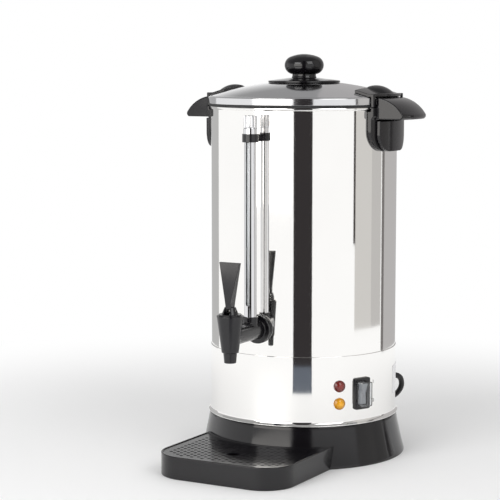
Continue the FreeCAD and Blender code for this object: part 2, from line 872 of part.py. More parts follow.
# The knob: a flattened ball on a neck, over a guard disc that keeps the fingers off the hot lid
guard_seat = lid_crown + s.bolt_slack
guard_low = dome(s.guard_radius) + s.joint_gap
guard_top = guard_low + s.guard_edge + s.guard_cone
keep("knob_guard", turned(
    "guard_body",
    Outline(bolt_hole, guard_seat)
    .arc(s.guard_radius, guard_low, s.lid_dome_radius, False)
    .line(s.guard_radius, guard_low + s.guard_edge).line(s.knob_neck_radius + 2, guard_top)
    .line(bolt_hole, guard_top).close(),
))
neck_top = guard_top + s.knob_neck_height
ball_top = neck_top + s.knob_ball_height
neck_pinch = s.knob_neck_radius * 0.94
edge_centre = s.knob_radius - s.knob_round
edge_lift = neck_pinch - edge_centre
edge_height = neck_top + root(s.knob_round * s.knob_round - edge_lift * edge_lift)
short = ball_top - edge_height - s.knob_round
deep = (edge_centre * edge_centre - short * short) / (2 * short)
span = deep + short
keep("lid_knob", cut(
    "knob_cut",
    turned(
        "knob_body",
        Outline(0, guard_top)
        .line(s.knob_neck_radius, guard_top).line(neck_pinch, guard_top + s.knob_neck_height * 0.6)
        .line(neck_pinch, neck_top)
        .arc(edge_centre * (1 + s.knob_round / span), edge_height + s.knob_round * deep / span, s.knob_round, True)
        .arc(0, ball_top, span + s.knob_round, True).close(),
    ),
    cylinder("knob_bore", bolt_hole, s.knob_neck_height * 2, (0, 0, guard_top)),
))
bolt_low = dome(2 * s.knob_bolt_radius, s.lid_sheet) - s.bolt_slack
keep("knob_bolt", fuse(
    "knob_bolt_solid",
    cylinder("knob_bolt_shank", s.knob_bolt_radius, guard_top + s.knob_neck_height * 1.8 - bolt_low, (0, 0, bolt_low)),
    cylinder("knob_bolt_head", 2 * s.knob_bolt_radius, s.knob_bolt_radius, (0, 0, bolt_low - s.knob_bolt_radius)),
))

# The lid's lugs: black plates riveted over the rim, with legs that straddle the handle brackets
lid_space = turned(
    "lid_space",
    Outline(0, rim_low - s.lid_skirt_depth)
    .line(lid_rim_radius + s.joint_gap, rim_low - s.lid_skirt_depth)
    .line(lid_rim_radius + s.joint_gap, rim_top + s.bolt_slack)
    .arc(shoulder, dome(shoulder) + s.bolt_slack, s.lid_shoulder + s.joint_gap, True)
    .arc(0, lid_crown + s.bolt_slack, s.lid_dome_radius, True).close(),
)
plate_sheet = turned(
    "plate_sheet",
    Outline(lug_inner - 6, dome(shoulder))
    .line(lug_reach, dome(shoulder)).line(lug_reach, dome(shoulder) + s.lug_thick)
    .line(shoulder, dome(shoulder) + s.lug_thick)
    .arc(lug_inner - 6, dome(lug_inner - 6) + s.lug_thick, s.lid_dome_radius, True).close(),
)
plate_window = block(
    "plate_window", lug_reach - lug_inner + 4, 2 * s.lug_half_width, 60,
    ((lug_reach + lug_inner + 4) / 2, 0, lug_leg_low),
)
bump_ball = s.lug_bump_radius * 1.8
bump_top = dome(lug_inner) + s.lug_thick + s.lug_bump_rise
bump = common(
    "lug_bump",
    ball("bump_ball", bump_ball, (lug_x - 4, 0, bump_top - bump_ball)),
    block(
        "bump_window", lug_reach - lug_inner, 4 * s.lug_bump_radius, 60,
        ((lug_reach + lug_inner) / 2, 0, dome(shoulder)),
    ),
)
leg_ring = turned(
    "leg_ring",
    rectangle(lid_rim_radius + s.joint_gap + 0.2, lug_leg_reach, lug_leg_low, dome(shoulder) + s.lug_thick),
)
leg_windows = [
    block(
        f"leg_window_{i}", s.body_radius, s.lug_leg_width, 60,
        (s.body_radius, side * (s.lug_half_width - s.lug_leg_width / 2), lug_leg_low),
    )
    for i, side in enumerate((1, -1))
]
lug_holes = [
    cylinder(f"lug_hole_{i}", s.rivet_radius + s.bolt_slack, rivet_height, (x, y, rivet_low))
    for i, (x, y) in enumerate(rivet_spots[:2])
]
lug = cut(
    "lug_solid",
    fuse(
        "lug_blank",
        common("lug_plate", plate_sheet, plate_window),
        bump,
        common("lug_leg_0", leg_ring, leg_windows[0]),
        common("lug_leg_1", leg_ring, leg_windows[1]),
    ),
    lid_space, *lug_holes,
)


def mirrored_pair(name, shape_source):
    """The same piece on the right and, turned by half a turn, on the left."""
    for side, turn in (("right", Rotation()), ("left", HALF_TURN)):
        copy = doc.addObject("Part::Feature", f"{name}_{side}_copy")
        copy.Shape = shape_source.Shape
        copy.Placement = Placement(Vector(), turn) * shape_source.Placement
        keep(f"{name}_{side}", copy)


doc.recompute()
mirrored_pair("lid_lug", lug)

# The handles: a plate that hugs the tank, a bracket under the lug, and a hooded grip open below
plate_outer = band_inner + s.handle_plate
prism_reach = 2 * grip_reach
plate_outline = (
    Outline(-s.handle_half_width, handle_top)
    .line(-s.handle_half_width, handle_low + s.handle_corner)
    .arc(-s.handle_half_width + s.handle_corner, handle_low, s.handle_corner, True)
    .line(s.handle_half_width - s.handle_corner, handle_low)
    .arc(s.handle_half_width, handle_low + s.handle_corner, s.handle_corner, True)
    .line(s.handle_half_width, handle_top).close()
)
plate_prism = padded("plate_prism", "YZ_Plane", plate_outline, prism_reach)
bead_clear = bead_low - 1.2
plate_ring = turned(
    "plate_ring",
    Outline(band_inner, handle_low).line(plate_outer, handle_low)
    .line(plate_outer, grip_low).line(bracket_outer, grip_low + 4)
    .line(bracket_outer, handle_top).line(bracket_inner, handle_top)
    .line(bracket_inner, bead_clear).line(band_inner, bead_clear).close(),
)
hood_ring = turned(
    "hood_ring",
    Outline(bracket_inner, grip_low)
    .line(grip_reach - 2, grip_low).line(grip_reach, grip_low + 2.5).line(grip_reach, grip_lip)
    .arc(bracket_outer, bracket_top, s.grip_curve, True).line(bracket_inner, bracket_top).close(),
)
cavity_inner = bracket_outer + s.grip_wall
cavity_outer = grip_reach - s.grip_wall - 1
cavity_ring = turned(
    "cavity_ring",
    Outline(cavity_inner, grip_low - 5).line(cavity_outer, grip_low - 5).line(cavity_outer, grip_lip)
    .arc(cavity_inner, bracket_top - s.grip_wall * 1.3, s.grip_curve - s.grip_wall, True).close(),
)


def side_block(name, half_width):
    """A block over the right side that clips a turned shape to a width."""
    return block(name, prism_reach, 2 * half_width, 100, (grip_reach, 0, handle_low - 10))


bolt_head_depth = s.handle_plate / 2
head_seat = plate_outer - bolt_head_depth
handle_bores = [
    cylinder(f"handle_bore_{i}", s.handle_bolt_radius + s.bolt_slack, 2 * s.handle_plate,
             (s.body_radius - 2, 0, height), ALONG_X)
    for i, height in enumerate(handle_bolt_heights)
]
handle_wells = [
    cylinder(f"handle_well_{i}", s.handle_nut_radius + s.joint_gap, s.handle_plate,
             (head_seat, 0, height), ALONG_X)
    for i, height in enumerate(handle_bolt_heights)
]
handle = cut(
    "handle_solid",
    fuse(
        "handle_blank",
        common("handle_plate_part", plate_ring, plate_prism),
        common("handle_hood_part", hood_ring, side_block("hood_window", s.grip_half_width)),
    ),
    common("handle_cavity", cavity_ring, side_block("cavity_window", s.grip_half_width - s.grip_wall)),
    *handle_bores, *handle_wells,
)
cover_prism = padded(
    "cover_prism", "YZ_Plane",
    Outline(-s.cover_half_width, cover_top)
    .line(-s.cover_half_width, handle_low + s.cover_corner)
    .arc(-s.cover_half_width + s.cover_corner, handle_low, s.cover_corner, True)
    .line(s.cover_half_width - s.cover_corner, handle_low)
    .arc(s.cover_half_width, handle_low + s.cover_corner, s.cover_corner, True)
    .line(s.cover_half_width, cover_top).close(),
    prism_reach,
)
cover_inner = plate_outer + 2 * s.bolt_slack
cover_ring = turned(
    "cover_ring", rectangle(cover_inner, cover_inner + s.cover_thick, handle_low, cover_top)
)
cover = common("cover_solid", cover_ring, cover_prism)
doc.recompute()
mirrored_pair("handle", handle)
mirrored_pair("handle_cover", cover)
nut_face = root(tank_inner * tank_inner - s.handle_nut_radius * s.handle_nut_radius) - s.bolt_slack
bolt_inner = nut_face - s.handle_nut_thick - 1
bolts, nuts = [], []
for side, turn in (("right", Rotation()), ("left", HALF_TURN)):
    for i, height in enumerate(handle_bolt_heights):
        along = turn * ALONG_X
        sign = 1 if side == "right" else -1
        bolts.append(fuse(
            f"handle_bolt_{side}_{i}",
            cylinder(f"bolt_shank_{side}_{i}", s.handle_bolt_radius, head_seat - bolt_inner,
                     (sign * bolt_inner, 0, height), along),
            cylinder(f"bolt_head_{side}_{i}", s.handle_nut_radius, bolt_head_depth * 0.8,
                     (sign * head_seat, 0, height), along),
        ))
        nuts.append(cut(
            f"handle_nut_{side}_{i}",
            hexagon(f"nut_body_{side}_{i}", s.handle_nut_radius, s.handle_nut_thick,
                    (sign * (nut_face - s.handle_nut_thick), 0, height), along),
            cylinder(f"nut_bore_{side}_{i}", s.handle_bolt_radius + s.bolt_slack, s.handle_nut_thick,
                     (sign * (nut_face - s.handle_nut_thick), 0, height), along),
        ))
keep("handle_bolts", together("handle_bolt_set", *bolts))
keep("handle_nuts", together("handle_nut_set", *nuts))

# The tap: pipe, cone, nozzle and gauge socket in one moulding, clamped through the tank wall
body_space = cylinder("body_space", s.body_radius + s.bolt_slack, rim_height, (0, 0, 0))
flange_face = s.body_radius + s.washer_thick
stub_end = tank_inner - s.tap_stub_length
chamber_low_radius = s.cone_low_radius - s.cone_wall * 0.6
chamber_top_radius = s.cone_top_radius - s.cone_wall
tap_solid = fuse(
    "tap_solid",
    cylinder("tap_pipe", s.tap_pipe_radius, tap_reach - flange_face, (0, -tap_reach, tap_height), BACKWARD),
    cylinder("tap_flange", s.tap_flange_radius, s.tap_flange_thick,
             (0, -flange_face - s.tap_flange_thick, tap_height), BACKWARD),
    cylinder("tap_stub", s.tap_stub_radius, flange_face - stub_end, (0, -flange_face, tap_height), BACKWARD),
    cylinder("gauge_socket", s.gauge_socket_radius, gauge_socket_top - tap_height,
             (0, -gauge_offset, tap_height)),
    cone("tap_cone", s.cone_low_radius, s.cone_top_radius, cone_top - cone_low, (0, -tap_reach, cone_low)),
    cone("tap_nozzle", s.nozzle_low_radius, s.nozzle_top_radius, cone_low - nozzle_low,
         (0, -tap_reach, nozzle_low)),
)
seal_low = gauge_socket_top - s.shield_seat
keep("tap_body", cut(
    "tap_cut", tap_solid,
    cylinder("tap_bore", s.tap_pipe_bore, tap_reach - stub_end, (0, -tap_reach, tap_height), BACKWARD),
    cone("tap_chamber", chamber_low_radius, chamber_top_radius, cone_top - seat_height,
         (0, -tap_reach, seat_height)),
    cylinder("tap_outlet", s.nozzle_bore, seat_height - nozzle_low, (0, -tap_reach, nozzle_low)),
    cylinder("gauge_recess", s.shield_radius + s.bolt_slack, s.shield_seat, (0, -gauge_offset, seal_low)),
    cylinder("gauge_bore", s.glass_radius - s.glass_wall, seal_low - tap_height, (0, -gauge_offset, tap_height)),
))
washer_bore = s.tap_stub_radius + s.bolt_slack
keep("tap_washer_outer", cut(
    "washer_outer_cut",
    cylinder("washer_outer", s.tap_flange_radius, 2 * s.washer_thick, (0, -flange_face, tap_height), BACKWARD),
    cylinder("washer_outer_bore", washer_bore, 2 * s.washer_thick, (0, -flange_face, tap_height), BACKWARD),
    body_space,
))
keep("tap_washer_inner", common(
    "washer_inner_trim",
    cut(
        "washer_inner_ring",
        cylinder("washer_inner", s.tap_nut_radius, 2 * s.washer_thick, (0, -tank_inner, tap_height), BACKWARD),
        cylinder("washer_inner_bore", washer_bore, 2 * s.washer_thick, (0, -tank_inner, tap_height), BACKWARD),
    ),
    cylinder("tank_space", tank_inner - s.bolt_slack, rim_height, (0, 0, 0)),
))
nut_start = tank_inner - 2 * s.washer_thick - s.bolt_slack
keep("tap_nut", cut(
    "tap_nut_cut",
    hexagon("tap_nut_body", s.tap_nut_radius, s.tap_nut_thick, (0, -nut_start, tap_height), BACKWARD),
    cylinder("tap_nut_bore", washer_bore, s.tap_nut_thick, (0, -nut_start, tap_height), BACKWARD),
))

# The tap's bonnet, valve and lever
AT_TAP = (0, -tap_reach, 0)
plug_radius = chamber_top_radius - 2 * s.bolt_slack - 0.8
plug_low = cone_top - 7
bonnet_seat = cone_top + s.bolt_slack
collar_top = bonnet_seat + s.bonnet_flange
slot_floor = lever_pivot - s.lever_root_radius - s.slot_slack
slot_half = s.lever_waist_width / 2 + s.slot_slack
bonnet_shape = turned(
    "bonnet_shape",
    Outline(plug_radius - s.bonnet_wall, plug_low)
    .line(plug_radius, plug_low).line(plug_radius, bonnet_seat).line(plug_radius + 2, bonnet_seat)
    .line(plug_radius + 2, collar_top).line(s.bonnet_radius, collar_top)
    .line(s.bonnet_top_radius, bonnet_top).line(0, bonnet_top).line(0, slot_floor - 1.4)
    .line(plug_radius - s.bonnet_wall, slot_floor - 1.4).close(),
)
place(bonnet_shape, AT_TAP)
keep("tap_bonnet", cut(
    "bonnet_cut", bonnet_shape,
    block("bonnet_slot", 2 * slot_half, 2 * s.bonnet_radius + 0.6, 20, (0, -tap_reach, slot_floor)),
    cylinder("bonnet_stem_hole", s.stem_radius + s.slot_slack, 10, (0, -tap_reach, slot_floor - 5)),
    cylinder("bonnet_pin_hole", s.pin_radius + s.bolt_slack, 2 * s.bonnet_radius,
             (-s.bonnet_radius, -tap_reach, lever_pivot), ALONG_X),
))
pin_half = s.bonnet_radius - 2.2
keep("lever_pin", cylinder(
    "lever_pin_rod", s.pin_radius, 2 * pin_half, (-pin_half, -tap_reach, lever_pivot), ALONG_X
))
cup_low = seat_height + 0.2
keep("valve_cup", place(turned(
    "valve_cup_body",
    Outline(0, cup_low).line(s.cup_radius, cup_low).line(s.cup_radius, cup_low + s.cup_height * 0.5)
    .line(s.cup_radius * 0.6, cup_low + s.cup_height).line(0, cup_low + s.cup_height).close(),
), AT_TAP))
keep("valve_stem", cylinder(
    "valve_stem_rod", s.stem_radius, stem_top - cup_low - s.cup_height,
    (0, -tap_reach, cup_low + s.cup_height),
))


def section(name, wide, deep, height):
    """A rectangular section of the lever at a height."""
    sketch = doc.addObject("Sketcher::SketchObject", name)
    rectangle(-wide / 2, wide / 2, -deep / 2, deep / 2).draw(sketch)
    return place(sketch, (0, -tap_reach, height))


root_depth = 2 * s.lever_root_radius
lever_loft = doc.addObject("Part::Loft", "lever_blade")
lever_loft.Sections = [
    section("lever_root", s.lever_waist_width, root_depth, lever_pivot),
    section("lever_neck", s.lever_waist_width, root_depth, bonnet_top + 0.6),
    section("lever_waist", s.lever_waist_width, s.lever_waist_depth, lever_waist),
    section("lever_tip", s.lever_top_width, s.lever_top_depth, lever_top),
]
lever_loft.Solid = True
lever_loft.Ruled = True
keep("tap_lever", cut(
    "lever_cut",
    fuse(
        "lever_solid", lever_loft,
        cylinder("lever_eye", s.lever_root_radius, s.lever_waist_width,
                 (-s.lever_waist_width / 2, -tap_reach, lever_pivot), ALONG_X),
    ),
    block("lever_fork", s.lever_slot, 2 * s.lever_root_radius + 1, s.lever_root_radius + 3.4,
          (0, -tap_reach, lever_pivot - s.lever_root_radius - 0.6)),
    cylinder("lever_pin_hole", s.pin_radius + s.bolt_slack, s.lever_waist_width + 2,
             (-s.lever_waist_width / 2 - 1, -tap_reach, lever_pivot), ALONG_X),
))

# The sight gauge: a glass tube in a slotted chrome shield, between the tap's socket and a collar
AT_GAUGE = (0, -gauge_offset, 0)
shield_low = seal_low + s.bolt_slack
slot_middle = s.shield_slot / 2
keep("gauge_shield", cut(
    "shield_cut",
    cylinder("shield_tube", s.shield_radius, collar_low - shield_low, (0, -gauge_offset, shield_low)),
    cylinder("shield_bore", s.shield_radius - s.shield_wall, collar_low - shield_low,
             (0, -gauge_offset, shield_low)),
    block("shield_window", s.shield_slot, s.shield_radius, collar_low - shield_slot_low,
          (0, -gauge_offset - s.shield_radius / 2 - 1, shield_slot_low + slot_middle)),
    cylinder("shield_round", slot_middle, s.shield_radius, (0, -gauge_offset, shield_slot_low + slot_middle), FORWARD),
))
glass_low = seal_low + s.seal_thick
collar_top_z = collar_low + s.collar_height
spigot_low = collar_top_z - s.cap_spigot / 2
glass_top = spigot_low - s.seal_thick - 0.2
glass_bore = s.glass_radius - s.glass_wall
keep("gauge_glass", cut(
    "glass_cut",
    cylinder("glass_tube", s.glass_radius, glass_top - glass_low, (0, -gauge_offset, glass_low)),
    cylinder("glass_bore_tool", glass_bore, glass_top - glass_low, (0, -gauge_offset, glass_low)),
))
keep("gauge_seals", together("seal_set", *[
    cut(
        f"seal_{i}",
        cylinder(f"seal_ring_{i}", radius, s.seal_thick, (0, -gauge_offset, low)),
        cylinder(f"seal_bore_{i}", glass_bore - 0.4, s.seal_thick, (0, -gauge_offset, low)),
    )
    for i, (radius, low) in enumerate(((s.seal_radius, seal_low), (s.glass_radius, glass_top)))
]))
arm_long = gauge_offset - s.body_radius
keep("gauge_collar", cut(
    "collar_cut",
    fuse(
        "collar_solid",
        cylinder("collar_ring", s.collar_radius, s.collar_height, (0, -gauge_offset, collar_low)),
        block("collar_arm", 2 * s.arm_half_width, arm_long + 2, s.collar_height - 1,
              (0, -gauge_offset + arm_long / 2 + 1, collar_low + 0.5)),
    ),
    cylinder("collar_bore", s.glass_radius + 2 * s.bolt_slack, s.collar_height, (0, -gauge_offset, collar_low)),
    body_space,
    cylinder("arm_bore", s.arm_bolt_radius + s.bolt_slack, 12, (0, -s.body_radius - 10, arm_height), BACKWARD),
))
keep("gauge_bolt", fuse(
    "gauge_bolt_solid",
    cylinder("gauge_bolt_shank", s.arm_bolt_radius, 14, (0, -s.body_radius - 8, arm_height), BACKWARD),
    cylinder("gauge_bolt_head", 2 * s.arm_bolt_radius, 2.4, (0, -tank_inner + 0.2, arm_height), BACKWARD),
))
cap_low = collar_top_z + s.bolt_slack
cap_top = cap_low + s.cap_height
cap_shape = place(turned(
    "cap_shape",
    Outline(0, spigot_low + 0.1)
    .line(s.glass_radius - 0.2, spigot_low + 0.1).line(s.glass_radius - 0.2, cap_low).line(s.cap_radius, cap_low)
    .line(s.cap_radius, cap_low + s.cap_ring).line(s.cap_radius - 0.7, cap_low + s.cap_ring + 0.8)
    .line(s.cap_radius, cap_low + s.cap_ring + 1.6).line(s.cap_radius, cap_top - 1)
    .line(s.cap_radius - 1, cap_top).line(0, cap_top).close(),
), AT_GAUGE)
flute_radius = s.flute_depth * 1.5
flutes = [
    cylinder(f"flute_{i}", flute_radius, s.cap_height,
             (x, y - float(gauge_offset), cap_low + s.cap_ring + 1.6))
    for i, (x, y) in enumerate(ring_points(int(float(s.flute_count)), s.cap_radius + flute_radius - s.flute_depth))
]
keep("gauge_vent_cap", cut(
    "cap_cut", cap_shape, *flutes,
    cylinder("cap_vent", s.vent_radius, s.cap_ring, (0, -gauge_offset, cap_top - s.cap_ring)),
))

# The control panel: two domed lamps, and a rocker switch under a clear boot
lamp_nuts = []
for name, height in LAMP_HEIGHTS.items():
    lens = turned(
        f"{name}_body",
        Outline(0, -s.lamp_stem_length)
        .line(s.lamp_stem_radius, -s.lamp_stem_length).line(s.lamp_stem_radius, s.bolt_slack)
        .line(s.lamp_radius, s.bolt_slack).line(s.lamp_radius, s.lamp_flange)
        .arc(0, s.lamp_flange + s.lamp_dome,
             (s.lamp_radius * s.lamp_radius + s.lamp_dome * s.lamp_dome) / (2 * s.lamp_dome), True).close(),
    )
    keep(name, place(lens, out_at(s.lamp_azimuth, band_outer, height), radial(s.lamp_azimuth)))
    nut_top = band_inner - s.joint_gap - s.lamp_nut_thick
    lamp_nuts.append(cut(
        f"{name}_nut",
        cylinder(f"{name}_nut_body", s.lamp_nut_radius, s.lamp_nut_thick,
                 out_at(s.lamp_azimuth, nut_top, height), radial(s.lamp_azimuth)),
        cylinder(f"{name}_nut_bore", s.lamp_stem_radius + s.bolt_slack, s.lamp_nut_thick,
                 out_at(s.lamp_azimuth, nut_top, height), radial(s.lamp_azimuth)),
    ))
keep("lamp_nuts", together("lamp_nut_set", *lamp_nuts))

well_x = s.rocker_wide / 2 + s.slot_slack
well_y = s.rocker_tall / 2 + s.rocker_slack
band_space = cylinder("band_space", band_outer + s.bolt_slack, band_top, (0, 0, 0))
frame_plate = padded(
    "frame_plate", "XY_Plane", rounded(s.bezel_wide / 2, s.bezel_tall / 2, 2.5), s.bezel_thick + 2
)
frame_plate.Placement = switch_frame * Placement(Vector(0, 0, -2), Rotation())
frame_body = padded(
    "frame_body", "XY_Plane",
    rectangle(-s.bezel_body_wide / 2, s.bezel_body_wide / 2, -s.bezel_body_tall / 2, s.bezel_body_tall / 2),
    s.bezel_body_deep + 1,
)
frame_body.Placement = switch_frame * Placement(Vector(0, 0, -float(s.bezel_body_deep)), Rotation())
frame_well = padded(
    "frame_well", "XY_Plane", rectangle(-well_x, well_x, -well_y, well_y), s.rocker_depth + 8
)
frame_well.Placement = switch_frame * Placement(Vector(0, 0, -float(s.rocker_depth) - 1), Rotation())
AXLE = Vector(0, 0, -float(s.axle_drop))
axle_half = well_x + s.axle_reach


def axle(name, radius, half):
    """A round bar along the switch's pivot."""
    bar = cylinder(name, radius, 2 * half, (0, 0, 0))
    bar.Placement = switch_frame * Placement(AXLE - X_AXIS * float(half), ALONG_X)
    return bar


keep("switch_frame", cut(
    "frame_cut",
    fuse("frame_solid", cut("frame_face", frame_plate, band_space), frame_body),
    frame_well, axle("axle_hole", s.axle_radius + s.bolt_slack, axle_half + s.joint_gap),
))
rocker_half = s.rocker_tall / 2
rocker = padded(
    "rocker_body", "YZ_Plane",
    Outline(-rocker_half, s.rocker_crest)
    .line(-rocker_half, s.rocker_crest - 4.2).line(-3.5, -s.rocker_depth + 0.5)
    .line(3.5, -s.rocker_depth + 0.5).line(rocker_half, s.rocker_crest - 4.2)
    .line(rocker_half, s.rocker_crest).line(0, s.rocker_crest - 2.2).close(),
    s.rocker_wide, middle=True,
)
rocker.Placement = (
    switch_frame * Placement(AXLE, Rotation(X_AXIS, float(s.rocker_tilt))) * Placement(-AXLE, Rotation())
)
keep("switch_rocker", fuse("rocker_solid", rocker, axle("rocker_axle", s.axle_radius, axle_half)))
boot_outer = padded("boot_outer", "XY_Plane", rounded(s.boot_wide / 2, s.boot_tall / 2, 2.0), s.boot_rise)
boot_inner = padded(
    "boot_inner", "XY_Plane",
    rounded(s.boot_wide / 2 - s.boot_wall, s.boot_tall / 2 - s.boot_wall, 1.2), s.boot_rise - s.boot_wall,
)
for item in (boot_outer, boot_inner):
    item.Placement = switch_frame * Placement(Vector(0, 0, float(s.bezel_thick)), Rotation())
keep("switch_boot", cut("boot_cut", boot_outer, boot_inner))
keep("rating_label", place(turned(
    "label_body",
    rectangle(band_outer + s.bolt_slack, band_outer + s.label_thick, label_low, label_high),
    s.label_sweep,
), (0, 0, 0), Rotation(Z_AXIS, float(s.label_azimuth) - 90)))

# The drip tray and its lift-out grid, hollowed at the back to fit round the base
basin_low = s.tray_floor
grid_top = s.tray_height - s.grid_recess
grid_low = grid_top - s.grid_thick
ledge_top = grid_low - 0.1


def tray_outline(inset, behind):
    """The tray's outline seen from above, drawn in by an inset on every side and hollowed to a radius behind."""
    wide, front, corner = s.tray_half_width - inset, tray_front - inset, s.tray_corner - inset
    back = behind + s.tray_gap + inset
    meet = root(back * back - wide * wide)
    return (
        Outline(corner - wide, -front)
        .line(wide - corner, -front).arc(wide, corner - front, corner, True)
        .line(wide, -meet).arc(-wide, -meet, back, False)
        .line(-wide, corner - front).arc(corner - wide, -front, corner, True).join()
    )


shoulder_low = s.band_low - s.base_shoulder
flare_lean = (base_foot_radius - base_top_radius) / (shoulder_low - s.base_skirt_edge)
ledge_behind = base_foot_radius - flare_lean * (ledge_top - s.base_skirt_edge)
flare_space = turned(
    "flare_space",
    Outline(0, -1).line(base_foot_radius + s.tray_gap, -1)
    .line(base_foot_radius + s.tray_gap, s.base_skirt_edge)
    .arc(base_top_radius + s.tray_gap, shoulder_low, s.base_flare_radius, False).line(0, shoulder_low).close(),
)
tray_solid = padded("tray_solid", "XY_Plane", tray_outline(size_of(0), base_top_radius), s.tray_height)
tray_mouth = place(
    padded("tray_mouth", "XY_Plane", tray_outline(s.tray_rim, ledge_behind), s.tray_height), (0, 0, ledge_top)
)
tray_basin = place(
    padded("tray_basin", "XY_Plane", tray_outline(s.tray_rim + s.tray_ledge, base_foot_radius), s.tray_height),
    (0, 0, basin_low),
)
keep("drip_tray", cut("tray_cut", tray_solid, tray_mouth, tray_basin, flare_space))

grid_inset = s.tray_rim + s.grid_slack
grid_plate = place(
    padded("grid_plate", "XY_Plane", tray_outline(grid_inset, ledge_behind), s.grid_thick), (0, 0, grid_low)
)


def grid_holes():
    """The centres of the grid's holes: staggered columns inside a plain border, clear of the drain."""
    pitch, radius = float(s.grid_pitch), float(s.grid_hole_radius)
    edge = float(grid_inset + s.grid_border) - pitch / 2 + radius
    wide, front = float(s.tray_half_width) - edge, float(tray_front) - edge
    corner = max(float(s.tray_corner) - edge, 1.0)
    back = float(ledge_behind + s.tray_gap) + edge
    column = pitch * math.sqrt(3) / 2
    columns = int(wide // column)
    for i in range(-columns, columns + 1):
        x = i * column
        shift = pitch / 2 if i % 2 else 0.0
        for j in range(int(front // pitch) + 1):
            y = -float(drain_offset) - (j - int(front // pitch) // 2) * pitch - shift
            over_x, over_y = abs(x) - (wide - corner), -y - (front - corner)
            if y < -front or math.hypot(x, y) < back:
                continue
            if over_x > 0 and over_y > 0 and math.hypot(over_x, over_y) > corner:
                continue
            if math.hypot(x, y + float(drain_offset)) < float(s.drain_radius) + radius + 1.5:
                continue
            yield x, y


hole_set = doc.addObject("Part::Feature", "grid_hole_set")
hole_depth = float(s.grid_thick) + 2
hole_low = float(grid_low) - 1
hole_set.Shape = Part.makeCompound(
    [Part.makeCylinder(float(s.grid_hole_radius), hole_depth, Vector(x, y, hole_low)) for x, y in grid_holes()]
    + [Part.makeCylinder(float(s.drain_radius), hole_depth, Vector(0, -float(drain_offset), hole_low))]
)
keep("drip_grid", cut("grid_cut", grid_plate, hole_set))

# The mains lead: gland, free run, put-away coil with its tie, and plug
gland = turned(
    "gland_body",
    Outline(0, -s.gland_inside)
    .line(s.gland_root_radius, -s.gland_inside).line(s.gland_root_radius, 0.4)
    .line(s.gland_flange_radius, 0.4).line(s.gland_flange_radius, s.gland_flange_thick)
    .line(s.gland_root_radius, s.gland_flange_thick + 0.6).line(s.gland_tip_radius, s.gland_length)
    .line(0, s.gland_length).close(),
)
keep("lead_gland", place(gland, out_at(s.lead_azimuth, band_outer, lead_height), radial(s.lead_azimuth)))


def rounded_path(points):
    """Straight runs joined by tangent arcs, each as large as its two runs allow."""
    edges, start, radii = [], points[0], []
    for before, corner, after in zip(points, points[1:], points[2:]):
        one, two = (before - corner), (after - corner)
        turn = math.pi - one.getAngle(two)
        reach = 0.45 * min(one.Length, two.Length)
        radii.append(reach / math.tan(turn / 2))
        one, two = one.normalize(), two.normalize()
        enter, leave = corner + one * reach, corner + two * reach
        pull = (one + two).normalize()
        to_middle = radii[-1] / math.cos(turn / 2) - radii[-1]
        edges.append(Part.LineSegment(start, enter).toShape())
        edges.append(Part.Arc(enter, corner + pull * to_middle, leave).toShape())
        start = leave
    edges.append(Part.LineSegment(start, points[-1]).toShape())
    return Part.Wire(edges), radii


def tube_along(path, start, heading):
    """A round tube of the lead's radius swept along a path."""
    ring = Part.Wire(Part.Circle(start, heading, float(s.lead_radius)).toShape())
    return path.makePipeShell([ring], True, False)


def biarc(p0, t0, p1, t1):
    """Two tangent arcs from one point and heading to another."""
    v, both = p1 - p0, t0 + t1
    lean = 2 * (1 - t0.dot(t1))
    reach = v.dot(both)
    if lean < 1e-9:
        length = v.dot(v) / (4 * v.dot(t1))
    else:
        length = (-reach + math.sqrt(reach**2 + lean * v.dot(v))) / lean
    middle = (p0 + p1 + (t0 - t1) * length) * 0.5
    return [arc_from(p0, t0, middle), arc_from(p1, -t1, middle)[::-1]]


def arc_from(start, heading, end):
    """The three points of the arc that leaves a point along a heading and ends at another."""
    chord = end - start
    along = Vector(chord).normalize()
    side = heading - along * heading.dot(along)
    angle = heading.getAngle(chord)
    rise = side.normalize() * (chord.Length / 2 * math.tan(angle / 2))
    return [start, (start + end) * 0.5 + rise, end]


centre = Vector(float(s.coil_centre_x), float(s.coil_centre_y), 0)
lead_bore, pitch, turns = float(s.lead_radius), float(s.coil_pitch), float(s.coil_turns)
low_layer = float(s.coil_lift) + lead_bore
COIL_START = 90.0


def coil_point(turn):
    """A point of the coil: it winds in, climbs a layer in the half turn at its middle, and winds out."""
    middle = turns / 2
    radius = float(s.coil_inner) + pitch * abs(turn - middle)
    climb = min(max((turn - middle) * 2 + 0.5, 0.0), 1.0)
    angle = math.radians(COIL_START + 360 * turn)
    return centre + Vector(radius * math.cos(angle), radius * math.sin(angle), low_layer + pitch * climb)


STEPS_PER_TURN = 4
coil_nodes = [coil_point(i / STEPS_PER_TURN) for i in range(int(turns * STEPS_PER_TURN) + 1)]
headings = [(b - a).normalize() for a, b in zip(coil_nodes, coil_nodes[2:])]
headings = [Vector(-1, 0, 0)] + headings + [Vector(-1, 0, 0)]
straight, tail = Vector(2 * lead_bore, 0, 0), Vector(float(s.coil_tail), 0, 0)
coil_edges = [Part.LineSegment(coil_nodes[0] + straight, coil_nodes[0]).toShape()]
for a, ta, b, tb in zip(coil_nodes, headings, coil_nodes[1:], headings[1:]):
    coil_edges += [Part.Arc(*points).toShape() for points in biarc(a, ta, b, tb)]
coil_edges.append(Part.LineSegment(coil_nodes[-1], coil_nodes[-1] - tail).toShape())
coil_path = Part.Wire(coil_edges)
coil_in, coil_out = coil_nodes[0] + straight, coil_nodes[-1] - tail
coil = doc.addObject("Part::Feature", "lead_coil_body")
coil.Shape = tube_along(coil_path, coil_in, Vector(-1, 0, 0))
keep("lead_coil", coil)

